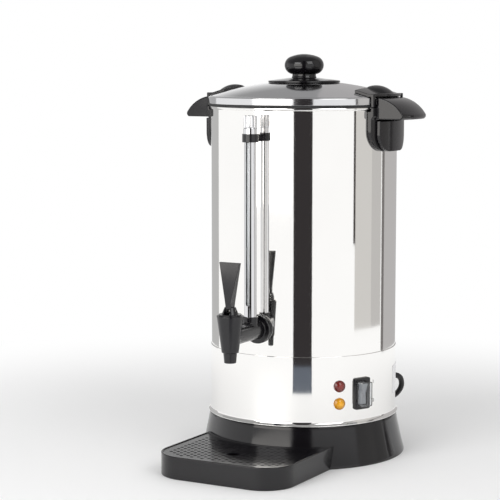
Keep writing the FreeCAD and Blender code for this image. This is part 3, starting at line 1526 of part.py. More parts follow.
exit_point = Vector(*out_at(s.lead_azimuth, band_outer + s.gland_length, lead_height))
lead_points = [exit_point] + [Vector(*point) for point in LEAD_POINTS] + [coil_in]
lead_path, lead_radii = rounded_path(lead_points)
lead = doc.addObject("Part::Feature", "lead_run_body")
lead.Shape = tube_along(lead_path, exit_point, lead_points[1] - exit_point)
keep("lead_run", lead)

tie_reach = float(s.coil_inner) + pitch * (turns / 2)
tie_low_x, tie_high_x = float(s.coil_inner) - lead_bore - 0.8, tie_reach + lead_bore - 1.0
tie_top = low_layer + pitch + lead_bore + 0.1
tie = cut(
    "tie_cut",
    padded("tie_outer", "XZ_Plane", rectangle(
        tie_low_x - s.tie_thick, tie_high_x + s.tie_thick, 0, tie_top + s.tie_thick), s.tie_width, middle=True),
    padded("tie_inner", "XZ_Plane", rectangle(
        size_of(tie_low_x), size_of(tie_high_x), s.tie_thick, size_of(tie_top)), s.tie_width * 2, middle=True),
)
keep("coil_tie", place(tie, centre, Rotation(Z_AXIS, float(s.tie_angle))))

plug_tall = 2 * coil_out.z
relief_end = coil_out - Vector(float(s.plug_relief), 0, 0)
plug_shell = place(
    padded("plug_shell", "XY_Plane", rounded(s.plug_long / 2, s.plug_wide / 2, s.plug_corner), size_of(plug_tall)),
    (relief_end.x - float(s.plug_long) / 2, relief_end.y, 0),
)
keep("plug_body", fuse(
    "plug_solid", plug_shell,
    cone("plug_relief_cone", s.plug_relief_radius, s.lead_radius + s.joint_gap, s.plug_relief + 1,
         relief_end - Vector(1, 0, 0), Rotation(Y_AXIS, 90)),
))
plug_middle = relief_end - Vector(float(s.plug_long) / 2, 0, 0)
PIN_SIZES = ((0.0, 4.0, 8.0, 1), (-1.0, 6.3, 4.0, 0), (1.0, 6.3, 4.0, 0))
pins = []
for i, (side, wide, deep, earth) in enumerate(PIN_SIZES):
    along = plug_middle.x + float(s.plug_earth_offset) * (0.5 if earth else -0.5)
    across = plug_middle.y + side * float(s.plug_pin_spread) / 2
    long, broad = (deep, wide) if earth else (deep, wide)
    pins.append(block(f"plug_pin_{i}", size_of(long), size_of(broad), s.plug_pin_length, (along, across, plug_tall)))
keep("plug_pins", together("plug_pin_set", *pins))

doc.recompute()

broken = [obj.Name for obj in doc.Objects if "Invalid" in obj.State or "Error" in obj.State]
for label, obj in parts.items():
    shape = obj.Shape
    if shape.isNull() or not shape.isValid() or not shape.Solids:
        broken.append(label)
if broken:
    raise SystemExit(f"These objects did not build: {broken}")

section_area = math.pi * lead_bore**2
for name, path, obj in (("lead_run", lead_path, lead), ("lead_coil", coil_path, coil)):
    print(name, "length", round(path.Length, 1), "volume over section times length",
          round(obj.Shape.Volume / (section_area * path.Length), 4))
print("lead radii in diameters", [round(radius / (2 * lead_bore), 1) for radius in lead_radii])

SAMPLES_PER_TURN = 72
samples = [coil_point(i / SAMPLES_PER_TURN) for i in range(int(turns * SAMPLES_PER_TURN) + 1)]
apart = min(
    (a - b).Length
    for i, a in enumerate(samples)
    for b in samples[i + SAMPLES_PER_TURN // 2:]
)
print("least gap between the coil's turns", round(apart - 2 * lead_bore, 2))

os.makedirs("parts", exist_ok=True)
for label, obj in parts.items():
    obj.Shape.exportStep(f"parts/{label}.step")
    print(label, len(obj.Shape.Solids), "solids", round(obj.Shape.Volume), "mm3")
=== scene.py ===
"""Coffee urn: the surfaces, finishes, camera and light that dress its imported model.

Sizes in the classes are in millimetres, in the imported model's own frame: z is up from the table,
the tap points along -y and the handles along +x and -x. They become metres when a mesh is made.
"""

from __future__ import annotations

import json
import logging
import math
from dataclasses import dataclass, field
from enum import Enum
from typing import Iterable, Sequence

import bmesh
import bpy
import numpy as np
from mathutils import Matrix, Vector

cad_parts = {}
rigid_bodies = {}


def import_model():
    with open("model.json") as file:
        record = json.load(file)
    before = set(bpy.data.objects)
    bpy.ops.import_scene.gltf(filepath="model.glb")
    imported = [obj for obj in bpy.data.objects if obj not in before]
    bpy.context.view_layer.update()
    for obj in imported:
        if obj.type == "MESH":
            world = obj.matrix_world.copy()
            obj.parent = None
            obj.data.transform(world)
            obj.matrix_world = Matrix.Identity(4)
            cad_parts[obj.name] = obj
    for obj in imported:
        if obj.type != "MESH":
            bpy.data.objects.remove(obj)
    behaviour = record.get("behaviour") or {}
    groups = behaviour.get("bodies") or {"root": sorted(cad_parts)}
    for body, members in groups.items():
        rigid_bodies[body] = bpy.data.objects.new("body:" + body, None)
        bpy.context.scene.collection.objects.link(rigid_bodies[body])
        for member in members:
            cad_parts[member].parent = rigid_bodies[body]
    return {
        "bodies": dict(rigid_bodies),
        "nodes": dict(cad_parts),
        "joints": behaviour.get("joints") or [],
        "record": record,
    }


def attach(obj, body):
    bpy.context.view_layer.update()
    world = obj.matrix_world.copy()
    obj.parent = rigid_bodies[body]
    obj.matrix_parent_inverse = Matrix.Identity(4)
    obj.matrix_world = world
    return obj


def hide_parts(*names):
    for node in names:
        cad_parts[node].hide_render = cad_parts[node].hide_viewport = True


LOG = logging.getLogger("coffee_urn")
MM = 0.001
ROUND_STEPS = 192
SMALL_STEPS = 64
CREASE_DEGREES = 32.0
LONG_RUN = 4
NODES: dict[str, bpy.types.Object] = {}


class Body(Enum):
    """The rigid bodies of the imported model."""

    URN = "urn"
    LID = "lid"
    LEVER = "lever"
    VALVE = "valve"
    ROCKER = "rocker"
    TRAY = "tray"
    GRID = "grid"
    VENT_CAP = "vent_cap"


def linear(code: str) -> tuple[float, float, float, float]:
    """Turn an sRGB hex colour into linear light.

    Args:
        code: Six hex digits.

    Returns:
        Red, green, blue and an alpha of one.
    """
    parts = np.array([int(code[i : i + 2], 16) for i in (0, 2, 4)]) / 255.0
    light = np.where(parts <= 0.04045, parts / 12.92, ((parts + 0.055) / 1.055) ** 2.4)
    return (*light.tolist(), 1.0)


class Bench:
    """The node tree of one material or world, with one call to add a node."""

    def __init__(self, name: str, world: bool = False) -> None:
        """Start a material, or a world, with its output alone."""
        self.material = (bpy.data.worlds if world else bpy.data.materials).new(name)
        self.material.use_nodes = True
        self.tree = self.material.node_tree
        self.tree.nodes.clear()
        self.output = self.tree.nodes.new("ShaderNodeOutputWorld" if world else "ShaderNodeOutputMaterial")

    def add(self, kind: str, settings: dict | None = None, **inputs: object) -> bpy.types.Node:
        """Add a node.

        Args:
            kind: The node's type name without its ShaderNode prefix.
            settings: Attributes of the node itself.
            **inputs: A value or an output socket for each input; spaces are written as _.

        Returns:
            The new node.
        """
        node = self.tree.nodes.new("ShaderNode" + kind)
        for key, value in (settings or {}).items():
            setattr(node, key, value)
        for key, value in inputs.items():
            numbered = key[0] == "i" and key[1:].isdigit()
            socket = node.inputs[int(key[1:]) if numbered else key.replace("_", " ")]
            if isinstance(value, bpy.types.NodeSocket):
                self.tree.links.new(value, socket)
            else:
                socket.default_value = value
        return node

    def show(self, shader: bpy.types.Node) -> bpy.types.Material:
        """Send a shader to the output and return the material or world."""
        self.tree.links.new(shader.outputs[0], self.output.inputs["Surface"])
        return self.material

    def seen(self) -> bpy.types.NodeSocket:
        """One for a ray from the camera, a mirror or glass, and nought for light on a matt surface."""
        path = self.add("LightPath")
        share = path.outputs["Is Camera Ray"]
        for other in ("Is Glossy Ray", "Is Transmission Ray"):
            share = self.add("Math", {"operation": "MAXIMUM"}, i0=share, i1=path.outputs[other]).outputs[0]
        return share


@dataclass(frozen=True)
class Moulded:
    """Moulded plastic or rubber: one colour, faint mottling, and fine marks from its mould."""

    name: str
    slot: str
    colour: str
    worn: str
    roughness: float = 0.3
    roughness_spread: float = 0.08
    grain_mm: float = 0.6
    grain_depth_mm: float = 0.01
    wave_mm: float = 22.0
    ior: float = 1.5
    shine: float = 0.5

    def material(self) -> bpy.types.Material:
        """Build the material: two colours mixed by soft noise, noise in the gloss, and a fine grain."""
        bench = Bench(self.name)
        place = bench.add("TexCoord").outputs["Object"]
        soft = bench.add("TexNoise", Vector=place, Scale=1000.0 / self.wave_mm, Detail=3.0)
        fine = bench.add("TexNoise", Vector=place, Scale=1000.0 / self.grain_mm, Detail=2.0)
        colour = bench.add(
            "Mix", {"data_type": "RGBA"}, Factor=soft.outputs["Fac"],
            i6=linear(self.colour), i7=linear(self.worn),
        )
        gloss = bench.add(
            "MapRange", Value=soft.outputs["Fac"], From_Min=0.3, From_Max=0.7,
            To_Min=self.roughness - self.roughness_spread / 2,
            To_Max=self.roughness + self.roughness_spread / 2,
        )
        bump = bench.add(
            "Bump", Height=fine.outputs["Fac"], Strength=0.5, Distance=self.grain_depth_mm * MM
        )
        shader = bench.add(
            "BsdfPrincipled", Base_Color=colour.outputs[2], Roughness=gloss.outputs["Result"],
            IOR=self.ior, Normal=bump.outputs["Normal"], Specular_IOR_Level=self.shine,
        )
        return bench.show(shader)


@dataclass(frozen=True)
class Metal:
    """Rolled, polished or plated metal: bare colour, a gloss that varies, and marks from working."""

    name: str
    slot: str
    colour: str
    dull: str
    roughness: float = 0.08
    roughness_spread: float = 0.04
    streak_mm: tuple[float, float, float] = (0.35, 0.35, 30.0)
    streak_depth_mm: float = 0.0015
    wave_mm: float = 60.0
    wave_depth_mm: float = 0.03
    bare: float = 1.0

    def material(self) -> bpy.types.Material:
        """Build the material: stretched noise for polishing lines, and wide soft waves of the sheet."""
        bench = Bench(self.name)
        place = bench.add("TexCoord").outputs["Object"]
        stretch = bench.add("Mapping", Vector=place, Scale=tuple(1000.0 / size for size in self.streak_mm))
        lines = bench.add("TexNoise", Vector=stretch.outputs["Vector"], Scale=1.0, Detail=3.0)
        waves = bench.add("TexNoise", Vector=place, Scale=1000.0 / self.wave_mm, Detail=1.0)
        colour = bench.add(
            "Mix", {"data_type": "RGBA"}, Factor=waves.outputs["Fac"],
            i6=linear(self.colour), i7=linear(self.dull),
        )
        gloss = bench.add(
            "MapRange", Value=lines.outputs["Fac"], From_Min=0.3, From_Max=0.7,
            To_Min=self.roughness - self.roughness_spread / 2,
            To_Max=self.roughness + self.roughness_spread / 2,
        )
        sheet = bench.add(
            "Bump", Height=waves.outputs["Fac"], Strength=1.0, Distance=self.wave_depth_mm * MM
        )
        bump = bench.add(
            "Bump", Height=lines.outputs["Fac"], Strength=0.6, Distance=self.streak_depth_mm * MM,
            Normal=sheet.outputs["Normal"],
        )
        shader = bench.add(
            "BsdfPrincipled", Base_Color=colour.outputs[2], Metallic=self.bare,
            Roughness=gloss.outputs["Result"], Normal=bump.outputs["Normal"],
        )
        return bench.show(shader)


@dataclass(frozen=True)
class Clear:
    """Clear glass or plastic: light passes straight through a thin wall."""

    name: str
    slot: str
    colour: str
    roughness: float = 0.03
    ior: float = 1.47
    clearness: float = 1.0

    def material(self) -> bpy.types.Material:
        """Build the material: light passes through, and the gloss smears a little with handling."""
        bench = Bench(self.name)
        place = bench.add("TexCoord").outputs["Object"]
        smear = bench.add("TexNoise", Vector=place, Scale=120.0, Detail=2.0)
        gloss = bench.add(
            "MapRange", Value=smear.outputs["Fac"], To_Min=self.roughness / 2, To_Max=self.roughness * 2
        )
        shader = bench.add(
            "BsdfPrincipled", Base_Color=linear(self.colour), Roughness=gloss.outputs["Result"],
            IOR=self.ior, Transmission_Weight=self.clearness,
        )
        return bench.show(shader)


@dataclass(frozen=True)
class Lens:
    """Tinted lamp lens: coloured plastic with a neon behind it that glows through when it is on. On a lens
    that is off, the lighter middle and faint glow are a painted highlight.
    """

    name: str
    slot: str
    colour: str
    deep: str
    glow: float
    centre: tuple[float, float, float]
    glow_mm: float = 6.0

    def material(self) -> bpy.types.Material:
        """Build the material: colour and glow fall off with the distance from the lens's middle."""
        bench = Bench(self.name)
        place = bench.add("TexCoord").outputs["Object"]
        apart = bench.add(
            "VectorMath", {"operation": "DISTANCE"}, i0=place, i1=tuple(c * MM for c in self.centre)
        )
        near = bench.add(
            "MapRange", Value=apart.outputs["Value"], From_Min=0.0, From_Max=self.glow_mm * MM,
            To_Min=1.0, To_Max=0.0,
        )
        cells = bench.add("TexVoronoi", Vector=place, Scale=1000.0 / 1.6)
        colour = bench.add(
            "Mix", {"data_type": "RGBA"}, Factor=near.outputs["Result"],
            i6=linear(self.deep), i7=linear(self.colour),
        )
        bump = bench.add("Bump", Height=cells.outputs["Distance"], Strength=0.35, Distance=0.3 * MM)
        shine = bench.add(
            "Math", {"operation": "MULTIPLY"}, i0=near.outputs["Result"], i1=self.glow
        )
        shader = bench.add(
            "BsdfPrincipled", Base_Color=colour.outputs[2], Roughness=0.12, IOR=1.49,
            Normal=bump.outputs["Normal"], Emission_Color=linear(self.colour),
            Emission_Strength=shine.outputs[0], Coat_Weight=0.6, Coat_Roughness=0.04,
        )
        return bench.show(shader)


class Finishes:
    """Every finish of the urn, with one material made for each when it is first used."""

    # Polished 18/10 stainless sheet: near mirror, with faint upright lines from its polishing belt.
    POLISHED_STEEL = Metal(
        "polished_stainless", "polished_steel", "FDFCFA", "F9F8F6", roughness=0.05, roughness_spread=0.03
    )
    # Inside, the sheet keeps its mill finish and a thin film of scale: pale and satin, with no clear mirror.
    SATIN_STEEL = Metal(
        "satin_stainless", "polished_steel", "D8D8D7", "C9C9C7",
        roughness=0.36, roughness_spread=0.1, bare=0.55,
    )
    # The lid is spun and polished: the same sheet, a little softer in its shine.
    SPUN_STEEL = Metal(
        "spun_stainless", "polished_steel", "E6E6E7", "DCDCDE", roughness=0.1, roughness_spread=0.05,
        streak_mm=(6.0, 6.0, 6.0), wave_depth_mm=0.01,
    )
    # Zinc plated steel of studs, nuts, screws and brackets: grey and satin.
    PLATED_STEEL = Metal(
        "zinc_plated_steel", "plain_steel", "A9A9A6", "8E8E8B", roughness=0.34, roughness_spread=0.12,
        streak_mm=(1.2, 1.2, 1.2), wave_mm=9.0,
    )
    CAST_PLATE = Metal(
        "cast_aluminium", "cast_plate", "B5B5B3", "9C9C99", roughness=0.48, roughness_spread=0.16,
        streak_mm=(1.6, 1.6, 1.6), streak_depth_mm=0.05, wave_mm=14.0,
    )
    # Bright chromium plate over brass: the hardest mirror on the urn.
    CHROME = Metal(
        "chromium_plate", "chromed", "E6E6E8", "DEDEE0", roughness=0.05, roughness_spread=0.03,
        streak_mm=(0.5, 0.5, 8.0), streak_depth_mm=0.0008, wave_depth_mm=0.004,
    )
    BRASS = Metal(
        "nickel_plated_brass", "pin_brass", "C9BE9A", "B5A97F", roughness=0.22, roughness_spread=0.08,
        streak_mm=(0.6, 0.6, 0.6),
    )
    # Moulded phenolic: dense black with a soft gloss, as on the knob, handles, base and tray.
    BLACK_PHENOLIC = Moulded(
        "moulded_phenolic", "black_gloss", "0B0A0C", "121014", roughness=0.12, ior=1.6, shine=0.4
    )
    # Moulded nylon of the tap: black, slightly warmer and more worn than the handles.
    BLACK_NYLON = Moulded(
        "moulded_nylon", "black_gloss", "0F0E11", "17161A", roughness=0.2, ior=1.53
    )
    BLACK_GRID = Moulded(
        "moulded_grid", "black_matte", "0E0D10", "151417", roughness=0.16, ior=1.55
    )
    CABLE_SHEATH = Moulded(
        "pvc_sheath", "black_matte", "151416", "1D1C1F", roughness=0.4, grain_mm=1.2, grain_depth_mm=0.03
    )
    FOOT_RUBBER = Moulded("foot_rubber", "rubber_black", "1B1B1C", "262627", roughness=0.7)
    SILICONE = Moulded("silicone_rubber", "silicone", "C9C6BE", "D6D3CC", roughness=0.5)
    NUT_NYLON = Moulded("nut_nylon", "black_matte", "1B1B1D", "262629", roughness=0.5)
    UREA = Moulded("urea_moulding", "terminal_plastic", "E2DFD6", "D5D2C8", roughness=0.45)
    ROCKER_WHITE = Moulded("rocker_white", "white_rocker", "B9BCC0", "A6A9AE", roughness=0.2)
    LABEL_FILM = Moulded("label_film", "label_film", "EFEFF0", "E4E4E6", roughness=0.35)
    PRINT_INK = Moulded("screen_print_ink", "black_matte", "5A5A5C", "6A6A6C", roughness=0.5)
    SIGHT_GLASS = Clear("borosilicate_glass", "clear_glass", "F2F5F6", clearness=0.45)
    BOOT_VINYL = Clear("clear_vinyl", "clear_boot", "F4F5F6", roughness=0.08, ior=1.4)

    made: dict[str, bpy.types.Material] = {}

    @classmethod
    def use(cls, piece: bpy.types.Object, finish: Moulded | Metal | Clear | Lens, own: bool = True) -> None:
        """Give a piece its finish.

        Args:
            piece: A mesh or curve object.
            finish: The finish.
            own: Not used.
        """
        if finish.name not in cls.made:
            cls.made[finish.name] = finish.material()
        piece.data.materials.clear()
        piece.data.materials.append(cls.made[finish.name])


def fillet(corners: Sequence[tuple[float, float, float]], closed: bool = True, steps: int = 5) -> np.ndarray:
    """Round the corners of an outline, each by an arc tangent to its two sides.

    Args:
        corners: x, y and corner radius for each corner.
        closed: Whether the last corner joins the first.
        steps: Segments in each arc.

    Returns:
        The rounded outline as rows of x and y.
    """
    points = np.array([c[:2] for c in corners], float)
    count = len(points)
    outline = []
    for i, (x, y, radius) in enumerate(corners):
        here = points[i]
        if radius <= 0 or (not closed and i in (0, count - 1)):
            outline.append(here[None])
            continue
        back, ahead = points[i - 1] - here, points[(i + 1) % count] - here
        one, two = back / np.linalg.norm(back), ahead / np.linalg.norm(ahead)
        half = math.acos(float(np.clip(one @ two, -1, 1))) / 2
        reach = min(radius / math.tan(half), 0.49 * np.linalg.norm(back), 0.49 * np.linalg.norm(ahead))
        size = reach * math.tan(half)
        middle = here + (one + two) / np.linalg.norm(one + two) * size / math.sin(half)
        start, end = here + one * reach - middle, here + two * reach - middle
        turn = math.atan2(start[0] * end[1] - start[1] * end[0], float(start @ end))
        angles = np.linspace(0, turn, steps + 1)
        cosine, sine = np.cos(angles), np.sin(angles)
        outline.append(middle + np.stack(
            [start[0] * cosine - start[1] * sine, start[0] * sine + start[1] * cosine], 1
        ))
    return np.concatenate(outline)


def arc_rows(
    start: tuple[float, float], end: tuple[float, float], radius: float, left: bool, steps: int = 12
) -> np.ndarray:
    """Points of an arc between two points, the short way round.

    Args:
        start: Where it starts.
        end: Where it ends.
        radius: Its radius.
        left: Whether it turns to the left on its way.
        steps: Its segments.

    Returns:
        Rows of x and y, the two ends included.
    """
    a, b = np.array(start, float), np.array(end, float)
    chord = b - a
    length = float(np.linalg.norm(chord))
    normal = np.array([-chord[1], chord[0]]) / length * (1 if left else -1)
    middle = (a + b) / 2 + normal * math.sqrt(max(radius**2 - length**2 / 4, 0))
    turn = 2 * math.asin(min(length / (2 * radius), 1)) * (1 if left else -1)
    angles = np.linspace(0, turn, steps + 1)
    spoke = a - middle
    return middle + np.stack(
        [
            spoke[0] * np.cos(angles) - spoke[1] * np.sin(angles),
            spoke[0] * np.sin(angles) + spoke[1] * np.cos(angles),
        ],
        1,
    )


def held(profile: np.ndarray, closed: bool, away: float = 0.3) -> np.ndarray:
    """Add a point close to each end of a long run that meets a short one.

    Shading is averaged at a point, so without these a small round would tilt the whole run beside it.

    Args:
        profile: Rows of x and y.
        closed: Whether the last point joins the first.
        away: How far from the end the point stands.

    Returns:
        The profile with the added points.
    """
    step = np.roll(profile, -1, 0) - profile
    length = np.maximum(np.linalg.norm(step, axis=1), 1e-9)
    way = step / length[:, None]
    long = length > LONG_RUN * away
    after_short = long & (length > LONG_RUN * np.roll(length, 1))
    before_short = long & (length > LONG_RUN * np.roll(length, -1))
    rows = np.stack([profile, profile + way * away, profile + way * (length - away)[:, None]], 1)
    keep = np.stack([np.ones(len(profile), bool), after_short, before_short], 1)
    if not closed:
        keep[-1, 1:] = False
    return rows[keep]


def radial(azimuth: float, radius: float, height: float) -> np.ndarray:
    """The frame of a piece on the wall: x along the wall, y up and z outwards.

    Args:
        azimuth: Degrees from -y towards +x.
        radius: The distance of its origin from the urn's axis.
        height: The height of its origin.

    Returns:
        A four by four matrix in millimetres.
    """
    angle = math.radians(azimuth)
    side = (math.cos(angle), math.sin(angle), 0)
    out = (math.sin(angle), -math.cos(angle), 0)
    frame = np.eye(4)
    frame[:3, 0], frame[:3, 1], frame[:3, 2] = side, (0, 0, 1), out
    frame[:3, 3] = (radius * out[0], radius * out[1], height)
    return frame


def moved(points: np.ndarray, frame: np.ndarray | None) -> np.ndarray:
    """Carry points, rows of x, y and z, into a frame."""
    if frame is None:
        return points
    return points @ frame[:3, :3].T + frame[:3, 3]


class Piece:
    """Ways to make one object of the urn and hand it to the frame."""

    @staticmethod
    def from_grid(
        name: str, rows: np.ndarray, round_u: bool = True, round_v: bool = False,
        frame: np.ndarray | None = None,
    ) -> bpy.types.Object:
        """Make a mesh from a grid of points, joining each to its neighbours by four-sided faces.

        Args:
            name: The piece's name.
            rows: Points in an array of u by v by three, in millimetres.
            round_u: Whether the last u joins the first.
            round_v: Whether the last v joins the first.
            frame: Where the piece stands.

        Returns:
            The object, with its doubles merged and its faces turned outwards.
        """
        count_u, count_v = rows.shape[:2]
        index = np.arange(count_u * count_v).reshape(count_u, count_v)
        if round_u:
            index = np.concatenate([index, index[:1]], 0)
        if round_v:
            index = np.concatenate([index, index[:, :1]], 1)
        faces = np.stack([index[:-1, :-1], index[1:, :-1], index[1:, 1:], index[:-1, 1:]], -1).reshape(-1, 4)
        return Piece.from_faces(name, moved(rows.reshape(-1, 3), frame), faces.tolist())

    @staticmethod
    def from_faces(name: str, points: np.ndarray, faces: list) -> bpy.types.Object:
        """Make a mesh object from points in millimetres and faces, and close its seams and poles."""
        mesh = bpy.data.meshes.new(name)
        mesh.from_pydata((points * MM).tolist(), [], faces)
        piece = bpy.data.objects.new(name, mesh)
        bpy.context.scene.collection.objects.link(piece)
        Piece.close(mesh)
        return piece

    @staticmethod
    def close(mesh: bpy.types.Mesh, merge_mm: float = 0.002) -> None:
        """Merge doubles, drop what that flattens, turn faces outwards and smooth all but creases.

        Args:
            mesh: The mesh.
            merge_mm: Points closer than this become one.
        """
        work = bmesh.new()
        work.from_mesh(mesh)
        bmesh.ops.remove_doubles(work, verts=work.verts, dist=merge_mm * MM)
        bmesh.ops.dissolve_degenerate(work, edges=work.edges, dist=merge_mm * MM / 2)
        bmesh.ops.recalc_face_normals(work, faces=work.faces)
        work.to_mesh(mesh)
        work.free()
        Piece.smooth(mesh)

    @staticmethod
    def smooth(mesh: bpy.types.Mesh, degrees: float = CREASE_DEGREES) -> None:
        """Shade a mesh smooth except along edges sharper than an angle."""
        mesh.polygons.foreach_set("use_smooth", np.ones(len(mesh.polygons), bool))
        mesh.set_sharp_from_angle(angle=math.radians(degrees))
        mesh.update()

    @staticmethod
    def lathe(
        name: str, profile: np.ndarray, steps: int = ROUND_STEPS, frame: np.ndarray | None = None,
        closed: bool = True,
    ) -> bpy.types.Object:
        """Carry a profile of radius and height once round the z axis.

        Args:
            name: The piece's name.
            profile: Rows of radius and height.
            steps: Segments round the axis.
            frame: Where the piece stands.
            closed: Whether the profile's last point joins its first.

        Returns:
            The object.
        """
        profile = held(profile, closed)
        angles = np.linspace(0, 2 * np.pi, steps, endpoint=False)[:, None]
        radius, height = profile[:, 0][None], profile[:, 1][None]
        level = np.broadcast_to(height, (steps, profile.shape[0]))
        rows = np.stack([radius * np.cos(angles), radius * np.sin(angles), level], -1)
        return Piece.from_grid(name, rows, round_v=closed, frame=frame)

    @staticmethod
    def copied(name: str, node: str, bevel_mm: float = 0.0, flat_degrees: float = 4.0) -> bpy.types.Object:
        """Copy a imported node, merge its loose triangles, and round its edges by a bevel.

        Args:
            name: The copy's name.
            node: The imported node.
            bevel_mm: The bevel's width; none leaves the edges sharp.
            flat_degrees: Triangles that meet flatter than this become one face before the bevel.

        Returns:
            The object, which replaces the node.
        """
        mesh = NODES[node].data.copy()
        mesh.name = name
        piece = bpy.data.objects.new(name, mesh)
        bpy.context.scene.collection.objects.link(piece)
        work = bmesh.new()
        work.from_mesh(mesh)
        bmesh.ops.remove_doubles(work, verts=work.verts, dist=0.001 * MM)
        if bevel_mm:
            bmesh.ops.dissolve_limit(
                work, angle_limit=math.radians(flat_degrees) / 4, verts=work.verts, edges=work.edges
            )
        bmesh.ops.recalc_face_normals(work, faces=work.faces)
        work.to_mesh(mesh)
        work.free()
        Piece.smooth(mesh)
        if bevel_mm:
            bevel = piece.modifiers.new("edges", "BEVEL")
            bevel.width, bevel.segments, bevel.limit_method = bevel_mm * MM, 3, "ANGLE"
            bevel.angle_limit = math.radians(CREASE_DEGREES)
            bevel.harden_normals = True
        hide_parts(node)
        return piece

    @staticmethod
    def moulded(name: str, node: str, voxel_mm: float, rounds: int) -> bpy.types.Object:
        """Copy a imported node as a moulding: its surface is laid out again in small even faces and relaxed.

        Args:
            name: The copy's name.
            node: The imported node.
            voxel_mm: The size of the new faces.
            rounds: How often the surface is relaxed, which rounds its edges.

        Returns:
            The object, which replaces the node.
        """
        piece = Piece.copied(name, node)
        remesh = piece.modifiers.new("even", "REMESH")
        remesh.mode, remesh.voxel_size, remesh.use_smooth_shade = "VOXEL", voxel_mm * MM, True
        relax = piece.modifiers.new("relax", "SMOOTH")
        relax.factor, relax.iterations = 0.5, rounds
        seen = piece.evaluated_get(bpy.context.evaluated_depsgraph_get())
        mesh = bpy.data.meshes.new_from_object(seen)
        piece.modifiers.clear()
        piece.data = mesh
        mesh.name = name
        Piece.smooth(mesh, 60.0)
        return piece

    @staticmethod
    def hand_over(
        piece: bpy.types.Object, body: Body, finish: Moulded | Metal | Clear | Lens, nodes: Iterable[str] = ()
    ) -> bpy.types.Object:
        """Give a piece its finish, the body it rides on and the nodes it stands for.

        Args:
            piece: A mesh or curve object.
            body: The body it moves with.
            finish: Its finish.
            nodes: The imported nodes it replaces.

        Returns:
            The same object.
        """
        Finishes.use(piece, finish)
        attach(piece, body.value)
        for node in nodes:
            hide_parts(node)
        LOG.info("%s rides on %s", piece.name, body.value)
        return piece


@dataclass(frozen=True)
class Tank:
    """The polished tank with the rolled bead under its rim."""

    radius: float = 112.5
    wall: float = 0.8
    low: float = 124.0
    floor: float = 141.0
    top: float = 423.3
    bead_low: float = 417.0
    bead_depth: float = 4.5
    bead_reach: float = 2.0
    # How far the dark ring of painted shade under the lid's rim reaches out from the wall.
    shade_ring_reach: float = 2.5

    def build(self) -> None:
        """Turn the tank: outer wall, bead, rolled rim, inner wall and floor, and a dark ring of painted shade
        under the lid's rim.
        """
        half = self.bead_depth / 2
        curve = (half**2 + self.bead_reach**2) / (2 * self.bead_reach)
        bead_top = self.bead_low + self.bead_depth
        bead = arc_rows((self.radius, self.bead_low), (self.radius, bead_top), curve, True)
        inner = self.radius - self.wall
        shape = np.concatenate([
            [(0, self.floor - self.wall), (inner, self.floor - self.wall)],
            [(inner, self.low), (self.radius, self.low)],
            bead,
            fillet([
                (self.radius, bead_top, 0), (self.radius, self.top, 0.35),
                (inner, self.top, 0.35), (inner, self.floor, 4.0), (0, self.floor, 0),
            ], closed=False)[1:],
        ])
        wall = Piece.lathe("tank_wall", shape, closed=False)
        Piece.hand_over(wall, Body.URN, Finishes.POLISHED_STEEL, ["tank"])
        self.dress_inside(wall, inner)
        # A dark ring between the bead and the lid's rim: painted shade standing in for the shadow in the gap
        # under the rim.
        low, high = bead_top - 0.6, self.top + 0.15
        ring = fillet([
            (self.radius - 0.2, low, 0), (self.radius + self.shade_ring_reach, low, 0.5),
            (self.radius + self.shade_ring_reach, high, 0.4), (self.radius - 0.2, high, 0),
        ])
        Piece.hand_over(Piece.lathe("rim_shade_ring", ring), Body.URN, Finishes.FOOT_RUBBER)

    def dress_inside(self, wall: bpy.types.Object, inner: float) -> None:
        """Give the faces above the floor and within the inner wall's radius the satin finish.

        Args:
            wall: The tank.
            inner: The radius of its inside.
        """
        satin = Finishes.SATIN_STEEL
        wall.data.materials.append(Finishes.made.setdefault(satin.name, satin.material()))
        centres = np.empty(len(wall.data.polygons) * 3, np.float32)
        wall.data.polygons.foreach_get("center", centres)
        x, y, z = centres.reshape(-1, 3).T / MM
        within = (np.hypot(x, y) < inner + 0.05) & (z > self.floor - self.wall / 2)
        wall.data.polygons.foreach_set("material_index", within.astype(np.int32))


@dataclass(frozen=True)
class Band:
    """The steel band round the electrics, with a flared lip at its foot and two small marks."""

    inner: float = 112.6
    wall: float = 0.8
    low: float = 49.2
    top: float = 131.3
    lip: float = 2.6
    mark_azimuth: float = 74.6
    mark_heights: tuple[float, float] = (97.0, 74.5)

    def build(self) -> None:
        """Turn the band and lay the on and off marks beside the switch."""
        outer = self.inner + self.wall
        shape = fillet([
            (self.inner, self.low, 0), (outer + self.lip, self.low, 0.35),
            (outer + self.lip, self.low + self.wall, 0.35), (outer, self.low + self.wall + self.lip, 4.0),
            (outer, self.top, 0.4), (self.inner, self.top, 0.2),
        ])
        Piece.hand_over(
            Piece.lathe("panel_band", shape), Body.URN, Finishes.POLISHED_STEEL, ["skirt_band"]
        )
        self.print_marks(outer)

    def print_marks(self, outer: float) -> None:
        """Lay an upright stroke and a ring, as thin as print, against the band.

        Args:
            outer: The radius of the band's outside.
        """
        stroke = np.array([(-0.35, -2.0), (0.35, -2.0), (0.35, 2.0), (-0.35, 2.0)])
        turn = np.linspace(0, 2 * np.pi, 32, endpoint=False)
        for name, height, ring in zip(("mark_on", "mark_off"), self.mark_heights, (False, True)):
            if ring:
                flat = np.stack([
                    np.stack([size * 0.85 * np.cos(turn), size * np.sin(turn)], 1) for size in (1.35, 2.0)
                ], 1)
            else:
                flat = np.stack([stroke * 0.02, stroke], 1)
            depth = np.array([0.0, 0.12])
            rows = np.concatenate([
                np.concatenate([flat, np.full((*flat.shape[:2], 1), depth[1])], 2),
                np.concatenate([flat[:, ::-1], np.full((*flat.shape[:2], 1), depth[0])], 2),
            ], 1)
            frame = radial(self.mark_azimuth, outer + 0.01, height)
            Piece.hand_over(
                Piece.from_grid(name, rows, round_v=True, frame=frame), Body.URN, Finishes.PRINT_INK
            )


